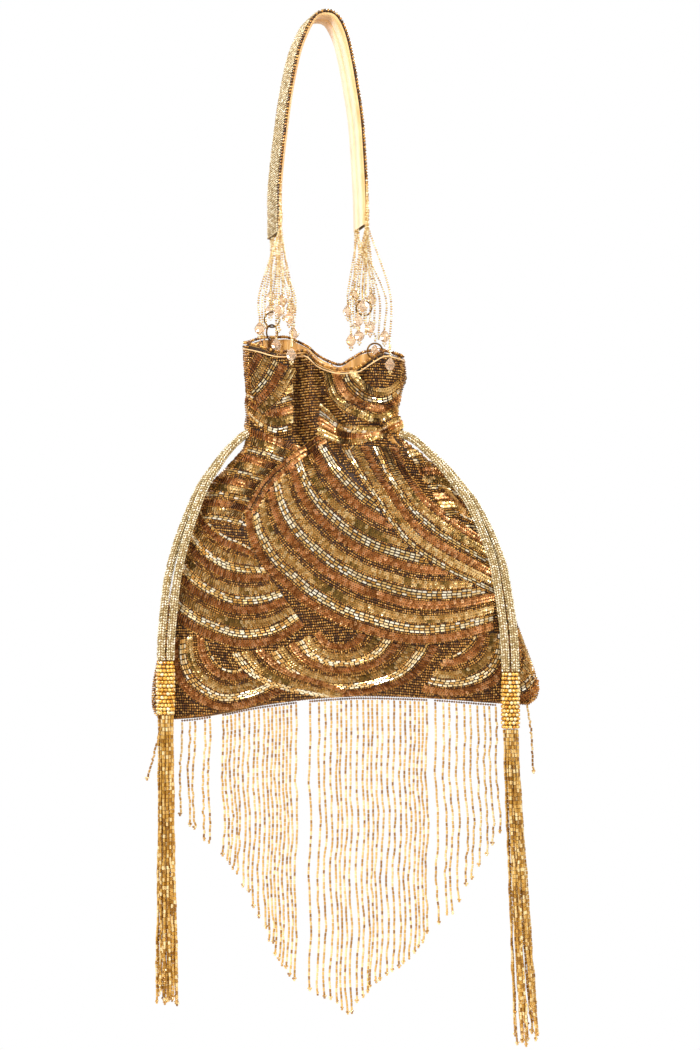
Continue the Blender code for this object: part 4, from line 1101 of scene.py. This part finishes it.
# Strands that end in small beads only, as depth slot, x and lower end
PLAIN_STRANDS = {
    "left": [(-11.0, -21.5, -172.0), (-3.8, -31.8, -176.0), (0.0, -24.4, -178.0), (3.8, -19.6, -170.0),
             (-5.5, -33.4, -182.0)],
    "right": [(-11.0, 26.0, -180.0), (-3.8, 30.8, -174.0), (0.0, 20.6, -176.0), (3.8, 33.4, -182.0),
              (-5.5, 19.0, -176.0)],
}


def make_strand_beads(shapes, mats):
    strings = {"left": [], "right": []}
    crystals, names = [], {"left": [], "right": []}
    over = []
    for side, strands in (("left", LEFT_STRANDS), ("right", RIGHT_STRANDS)):
        for slot, (x, y, z) in strands:
            top = z + DROP_HEIGHT / 2
            pts = [p[:] for p in strand_start(side, slot)]
            pts += [(x, slot, max(STRAND_SPREAD_Z, top + 7.0)), (x, slot, top + STRAND_BEND), (x, y, top)]
            strings[side].append(string_frames(smooth_path(pts, 60), (0, -1, 0), STRAND_SEED))
            drop, picot = drop_beads(x, y, top)
            crystals.append(drop)
            strings[side].append(picot)
            names[side].append("strand_{}_{:02d}".format(side, len(names[side]) + 1))
        for slot, x, z in PLAIN_STRANDS[side]:
            pts = [p[:] for p in strand_start(side, slot)]
            pts += [(x, slot, STRAND_SPREAD_Z), (x, slot, z)]
            strings[side].append(string_frames(smooth_path(pts, 60), (0, -1, 0), STRAND_SEED))
            strings[side].append(three_beads((x, slot, z)))
    ring_top = RING_RADIUS + RING_WIRE / 2 + SEAT_GAP
    left_z = LEFT_LINK[2] + RING_RADIUS + ring_top
    right_z = RIGHT_UPPER_RING[2] + ring_top
    for side, carriers, z in (("left", LEFT_CARRIERS, left_z), ("right", RIGHT_CARRIERS, right_z)):
        for slot, (x, y) in carriers:
            pts = [p[:] for p in strand_start(side, slot)]
            pts += [(x, slot, max(STRAND_SPREAD_Z, z + 8.0)), (x, y, z + 3.0), (x, y, z)]
            strings[side].append(string_frames(smooth_path(pts, 60), (0, -1, 0), STRAND_SEED))
            names[side].append("strand_{}_{:02d}".format(side, len(names[side]) + 1))
    for side, (slot, x, bend, end) in (("left", LEFT_OVER_RIM), ("right", RIGHT_OVER_RIM)):
        y0, z = LEFT_LINK[1], axis_height(x)
        pts = [p[:] for p in strand_start(side, slot)]
        pts += [(x, slot, STRAND_SPREAD_Z), (x, y0, z + 2 * SEAT_GAP)]
        strings[side].append(string_frames(smooth_path(pts, 60), (0, -1, 0), STRAND_SEED))
        names[side].append("strand_{}_{:02d}".format(side, len(names[side]) + 1))
        top = end[2] + DROP_HEIGHT / 2
        pts = [(x, y0, z - SEAT_GAP / 2), (x, y0 - 1.0, z - 1.5)] + bend + [(end[0], end[1], top)]
        drop, picot = drop_beads(end[0], end[1], top)
        string = string_frames(smooth_path(pts, 40), (0, 0, 1), STRAND_SEED)
        beaded("string_{}_over_rim".format(side), "bag", shapes, mats, "seed", "strand",
               [string, picot], ("drop_{}_over_rim".format(side),))
        beaded("crystal_{}_over_rim".format(side), "bag", shapes, mats, "drop", "crystal", [drop],
               smooth=False)
    x, y, z = RIGHT_UPPER_RING
    low = Vector((RIGHT_LINK[0], RIGHT_LINK[1], RIGHT_LINK[2] + RING_WIRE / 2 + SEAT_GAP))
    link = [(x, y, z - ring_top), (x + 0.8, y, z - ring_top - 4.0), (low.x, low.y, low.z + 4.0), low[:]]
    strings["right"].append(string_frames(smooth_path(link, 30), (0, -1, 0), STRAND_SEED))
    names["right"].append("strand_right_link")
    for side in ("left", "right"):
        beaded("strands_" + side, "handle", shapes, mats, "rung", "strand", strings[side],
               tuple(names[side]))
    beaded("crystals", "handle", shapes, mats, "drop", "crystal", crystals, smooth=False)
    x, y, z = right_lower_ring_centre()
    drop, picot = drop_beads(x, y, z + RING_RADIUS - RING_WIRE / 2 - SEAT_GAP)
    small = 0.82
    anchor = np.array([x, y, z + RING_RADIUS])
    for part in (drop, picot):
        part[:, :3] *= small
        part[:, 3] = anchor + (part[:, 3] - anchor) * small
    beaded("crystal_right_ring", "bag", shapes, mats, "drop", "crystal", [drop],
           ("drop_right_ring",), smooth=False)
    beaded("picot_right_ring", "bag", shapes, mats, "seed", "strand", [picot])


def make_ring(name, centre, turn_deg, body, mats):
    deselect()
    bpy.ops.mesh.primitive_torus_add(major_radius=RING_RADIUS * MM, minor_radius=RING_WIRE / 2 * MM,
                                     major_segments=40, minor_segments=10,
                                     location=tuple(c * MM for c in centre),
                                     rotation=(math.pi / 2, 0, math.radians(turn_deg)))
    bpy.ops.object.transform_apply(location=True)
    bpy.ops.object.shade_smooth()
    ring = bpy.context.object
    ring.name = "wire_" + name
    finish_piece(ring, body, mats["wire"], (name,))


def make_tab_cloth(name, centre, mats):
    """Satin tab folded over the lower side of a ring and stitched to the lining."""
    low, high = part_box(name)
    foot = np.array([0.5 * (low[0] + high[0]), high[1] - 0.5 * MM, low[2] + 0.3 * MM]) / MM
    x, y, z = centre
    hang = z - RING_RADIUS
    section = [(foot[1], foot[2]), (y + 1.3, hang - 1.2), (y + 0.8, hang + 0.4), (y, hang + 1.0),
               (y - 0.8, hang + 0.4), (y - 0.4, hang - 1.6), (foot[1] - 1.2, foot[2] + 0.2)]
    half = TAB_WIDTH / 2
    line = smooth_path([(x, a, b) for a, b in section], 30)
    verts = [p + [dx, 0, 0] for p in line for dx in (-half, -half + 0.4, half - 0.4, half)]
    faces = [(4 * i + k, 4 * i + k + 1, 4 * i + k + 5, 4 * i + k + 4)
             for i in range(len(line) - 1) for k in range(3)]
    tab = mesh_piece("satin_" + name, verts, faces)
    finish_piece(tab, "bag", mats["tab"], (name,))


def make_rings(mats):
    x, y, z = LEFT_LINK
    make_ring("ring_left_upper", (x, y, z + RING_RADIUS), 0.0, "handle", mats)
    make_ring("ring_left_lower", left_lower_ring_centre(), RING_TURN_DEG, "bag", mats)
    make_ring("ring_right_upper", RIGHT_UPPER_RING, 0.0, "handle", mats)
    make_ring("ring_right_lower", right_lower_ring_centre(), 0.0, "bag", mats)
    make_tab_cloth("tab_left", left_lower_ring_centre(), mats)
    make_tab_cloth("tab_right", right_lower_ring_centre(), mats)


# Drawcords

ROPE_BEAD = (1.15, 1.75, 1.5)
ROPE_COLUMNS = 8
ROPE_CORE = 2.0
# The ropes come out of the gathers: the first point lies inside the cloth
LEFT_INSIDE = (-40.5, -1.0, -237.5)
RIGHT_INSIDE = (45.0, -1.5, -238.5)


def rope_beads(points):
    """Columns of beads round a rope, leaning one way and the other in turn."""
    a, b = path_axes(points)
    frames = []
    for k in range(ROPE_COLUMNS):
        angle = 2 * math.pi * (k + 0.5) / ROPE_COLUMNS
        out = a * math.cos(angle) + b * math.sin(angle)
        lean = math.radians(38 if k % 2 else -38)
        frames.append(string_frames(points + out * ROPE_CORE, out, ROPE_BEAD, turn=lean, jitter=0.03))
    return frames


def make_ropes(shapes, mats):
    for side, route in (("left", LEFT_ROUTE), ("right", RIGHT_ROUTE)):
        for letter, place in (("a", -1), ("b", 1)):
            node = "drawcord_{}_{}".format(side, letter)
            inside_point = LEFT_INSIDE if side == "left" else RIGHT_INSIDE
            coarse = [inside_point] + [p[:] for p in rope_route(route, place)]
            points = smooth_path(coarse, 90)
            core = tube("core_" + node, points, ROPE_CORE, 8, "bag", mats["cord"],
                        (node,))
            beads = beaded("beads_" + node, "bag", shapes, mats, "rung", "rope", rope_beads(points))


# Tassels

CAP_BEAD = (2.35, 2.1, 2.1)
CAP_ROWS = 14
LEFT_SKIRT_ENDS = (-95.0, -81.5)
RIGHT_SKIRT_ENDS = (111.0, 126.0)
SKIRT_STRANDS = 30
SKIRT_RADIUS = 4.3
GOLDEN_ANGLE = 2.39996  # spreads the strands evenly over the cap's end


def cap_profile(length, down):
    """Half width and half depth of a cap at a depth under its top."""
    grow = min(1.0, down / (KNUCKLE + CAP_WIDTH / 4))
    width = CAP_END_WIDTH + (CAP_WIDTH - CAP_END_WIDTH) * grow
    depth = 2.4 + (CAP_WIDTH - 2.4) * grow ** 0.6
    end = max(0.0, (down - 0.93 * length) / (0.07 * length))
    return 0.5 * (width - 1.4 * end), 0.5 * (depth - 1.4 * end)


def make_cap(side, route, length, shapes, mats):
    x, y, z = route[-1]
    top = z - SEAT_GAP
    rings, sections = [], []
    for k in range(CAP_ROWS):
        down = (k + 0.5) * length / CAP_ROWS
        half_x, half_y = cap_profile(length, down)
        angles = np.linspace(0, 2 * math.pi, 49) + 0.2 * (k % 2)
        out = np.column_stack([np.cos(angles), np.sin(angles), np.zeros(49)])
        ring = np.array([x, y, top - down]) + out * [half_x - 0.9, half_y - 0.9, 0]
        rings.append(string_frames(ring, out, CAP_BEAD, jitter=0.03))
    for k in range(25):
        down = 0.4 + k * (length - 0.8) / 24
        half_x, half_y = cap_profile(length, down)
        for j in range(16):
            t = 2 * math.pi * j / 16
            sections.append((x + (half_x - 1.3) * math.cos(t), y + (half_y - 1.3) * math.sin(t),
                             top - down))
    faces = [(i * 16 + j, i * 16 + (j + 1) % 16, (i + 1) * 16 + (j + 1) % 16, (i + 1) * 16 + j)
             for i in range(24) for j in range(16)]
    faces += [tuple(range(16))[::-1], tuple(range(24 * 16, 25 * 16))]
    body = "tassel_" + side
    core = finish_piece(mesh_piece("cap_core_" + side, sections, faces), body, mats["ground"])
    beads = beaded("cap_beads_" + side, body, shapes, mats, "seed", "amber", rings,
                   ("cap_" + side,))
    return [core, beads]


def make_skirt(side, route, cap_length, length, ends, shapes, mats):
    cx, cy, z = route[-1]
    top = z - 2 * SEAT_GAP - cap_length
    tubes, picots = [], []
    for k in range(SKIRT_STRANDS):
        angle = k * GOLDEN_ANGLE
        radius = SKIRT_RADIUS * math.sqrt((k + 0.5) / SKIRT_STRANDS)
        dx, dy = radius * math.cos(angle), radius * math.sin(angle)
        share = 0.5 + 0.5 * dx / SKIRT_RADIUS
        end_x = ends[0] + (ends[1] - ends[0]) * share + rng.normal(0, 1.0)
        end_y = cy + dy * 1.5 + rng.normal(0, 0.6)
        own = length * (0.83 + 0.17 * rng.random() ** 0.6)
        wave, phase = rng.uniform(0.2, 0.7), rng.uniform(0, 6.28)
        pts = []
        for i in range(30):
            u = i / 29
            ease = u ** 1.15
            x = cx + dx + (end_x - cx - dx) * ease + wave * math.sin(phase + 7 * u) * u
            x += rng.normal(0, 0.22)
            y = cy + dy + (end_y - cy - dy) * ease + wave * math.cos(phase + 6 * u) * u
            pts.append((x, y, top - own * u))
        line = smooth_path(pts, 160)
        tubes.append(string_frames(line, (0, -1, 0), CUT_BUGLE, end=2.2, jitter=0.03))
        picots.append(three_beads(line[-1] + [0, 0, 2.2]))
    body = "skirt_" + side
    beaded("skirt_bugles_" + side, body, shapes, mats, "bugle", "tassel", tubes,
           ("skirt_" + side,), smooth=False)
    beaded("skirt_picots_" + side, body, shapes, mats, "seed", "tassel", picots)


# Fringe

def fringe_line(x, bottom_x, bottom, top):
    """Path of one fringe strand with slight waves."""
    wave, phase = rng.uniform(0.3, 0.7), rng.uniform(0, 6.28)
    depth = rng.normal(0, 0.35)
    pts = []
    for i in range(26):
        u = i / 25
        z = top + (bottom - top) * u
        sway = FRINGE_WAVE * math.sin(2 * math.pi * z / FRINGE_WAVE_LENGTH) * min(1.0, 3 * u)
        pts.append((x + (bottom_x - x) * u + sway + wave * math.sin(phase + 6 * u) * u
                    + min(1.0, 6 * u) * rng.normal(0, 0.2),
                    depth * u + wave * math.cos(phase + 5 * u) * u, z))
    return smooth_path(pts, 140)


FRINGE_LEAN = {"fringe_1": -1.0, "fringe_2": 0.0, "fringe_3": 0.0, "fringe_4": 2.0}


def make_fringes(shapes, mats):
    for name, xs in FRINGE_STRANDS.items():
        tubes, picots = [], []
        head = np.array([(x, 0.0, hem_height(x) - FRINGE_GAP - FRINGE_HEAD / 2)
                         for x in np.linspace(xs[0] - 0.6, xs[-1] + 0.6, 40)])
        for x in xs:
            top = hem_height(x) - FRINGE_GAP - 0.5 * FRINGE_HEAD
            bottom = table(FRINGE_ENDS, x) + rng.uniform(-0.5, 3.5)
            line = fringe_line(x, x + FRINGE_LEAN[name], bottom, top)
            tubes.append(string_frames(line, (0, -1, 0), CUT_BUGLE, start=0.8, end=2.2, jitter=0.03))
            picots.append(three_beads(line[-1] + [0, 0, 2.2]))
        beaded("bugles_" + name, name, shapes, mats, "bugle", "fringe", tubes,
               (name,), smooth=False)
        beaded("picots_" + name, name, shapes, mats, "seed", "fringe", picots)
        header = string_frames(head, (0, -1, 0), (1.3, 1.2, 1.35))
        beaded("header_" + name, name, shapes, mats, "seed", "seed", [header],
               tones=random_tones(len(header), 0.0, 0.4))
    for node, body in (("fringe_corner_left", "fringe_1"), ("fringe_corner_right", "fringe_4")):
        x, (x1, z1) = CORNER_STRANDS[node]
        line = fringe_line(x, x1, z1, hem_height(x) - SEAT_GAP)
        beaded("bugles_" + node, body, shapes, mats, "bugle", "fringe",
               [string_frames(line, (0, -1, 0), CUT_BUGLE, end=2.2)], (node,),
               smooth=False)
        beaded("picot_" + node, body, shapes, mats, "seed", "fringe", [three_beads(line[-1] + [0, 0, 2.2])])


# Backdrop and light

FLOOR_Z = -0.66


def make_stage():
    deselect()
    bpy.ops.mesh.primitive_circle_add(vertices=96, radius=0.34, fill_type="NGON",
                                      location=(0, 0, FLOOR_Z))
    floor = bpy.context.object
    floor.name = "floor"
    mat, tree = blank_material("white floor")
    close_material(tree, add_node(tree, "ShaderNodeBsdfPrincipled",
                                  in_Base_Color=linear("#f2f0ec"), in_Roughness=0.9))
    floor.data.materials.append(mat)


def make_world():
    world = bpy.data.worlds.new("studio")
    bpy.context.scene.world = world
    world.use_nodes = True
    tree = world.node_tree
    tree.nodes.clear()
    path = add_node(tree, "ShaderNodeLightPath")
    seen = add_node(tree, "ShaderNodeMath", [("Value", path, "Is Camera Ray")], operation="ADD",
                    use_clamp=True)
    tree.links.new(path.outputs["Is Transmission Ray"], seen.inputs[1])
    light = add_node(tree, "ShaderNodeBackground", in_Color=linear("#f2ebe0"), in_Strength=0.6)
    white = add_node(tree, "ShaderNodeBackground", in_Color=(1, 1, 1, 1), in_Strength=1.0)
    mix = add_node(tree, "ShaderNodeMixShader", [("Fac", seen, "Value")])
    tree.links.new(light.outputs["Background"], mix.inputs[1])
    tree.links.new(white.outputs["Background"], mix.inputs[2])
    add_node(tree, "ShaderNodeOutputWorld", [("Surface", mix, "Shader")])


def main():
    deselect()
    place_camera()
    bpy.context.scene.view_settings.view_transform = "Standard"
    make_world()
    place_lamp("key", (-0.9, -1.4, 0.75), (0.0, 0.0, -0.3), 0.5, 36)
    place_lamp("fill", (1.3, -1.1, 0.1), (0.0, 0.0, -0.3), 0.9, 15)
    place_lamp("rear", (0.7, 1.5, 0.5), (0.0, 0.0, -0.3), 0.7, 22)
    place_lamp("rear_fill", (-1.2, 1.1, 0.0), (0.0, 0.0, -0.3), 0.9, 12)
    place_lamp("glint", (0.25, -1.5, 0.35), (0.0, 0.0, -0.3), 0.12, 8)
    make_stage()
    shapes = make_shapes()
    mats = make_materials()
    caps = {"left": make_cap("left", LEFT_ROUTE, LEFT_CAP_LENGTH, shapes, mats),
            "right": make_cap("right", RIGHT_ROUTE, RIGHT_CAP_LENGTH, shapes, mats)}
    make_ropes(shapes, mats)
    make_pouch(shapes, mats)
    make_embroidery(shapes, mats)
    make_strap(shapes, mats)
    make_strand_beads(shapes, mats)
    make_rings(mats)
    make_skirt("left", LEFT_ROUTE, LEFT_CAP_LENGTH, LEFT_SKIRT_LENGTH, LEFT_SKIRT_ENDS, shapes, mats)
    make_skirt("right", RIGHT_ROUTE, RIGHT_CAP_LENGTH, RIGHT_SKIRT_LENGTH, RIGHT_SKIRT_ENDS, shapes,
               mats)
    make_fringes(shapes, mats)


main()
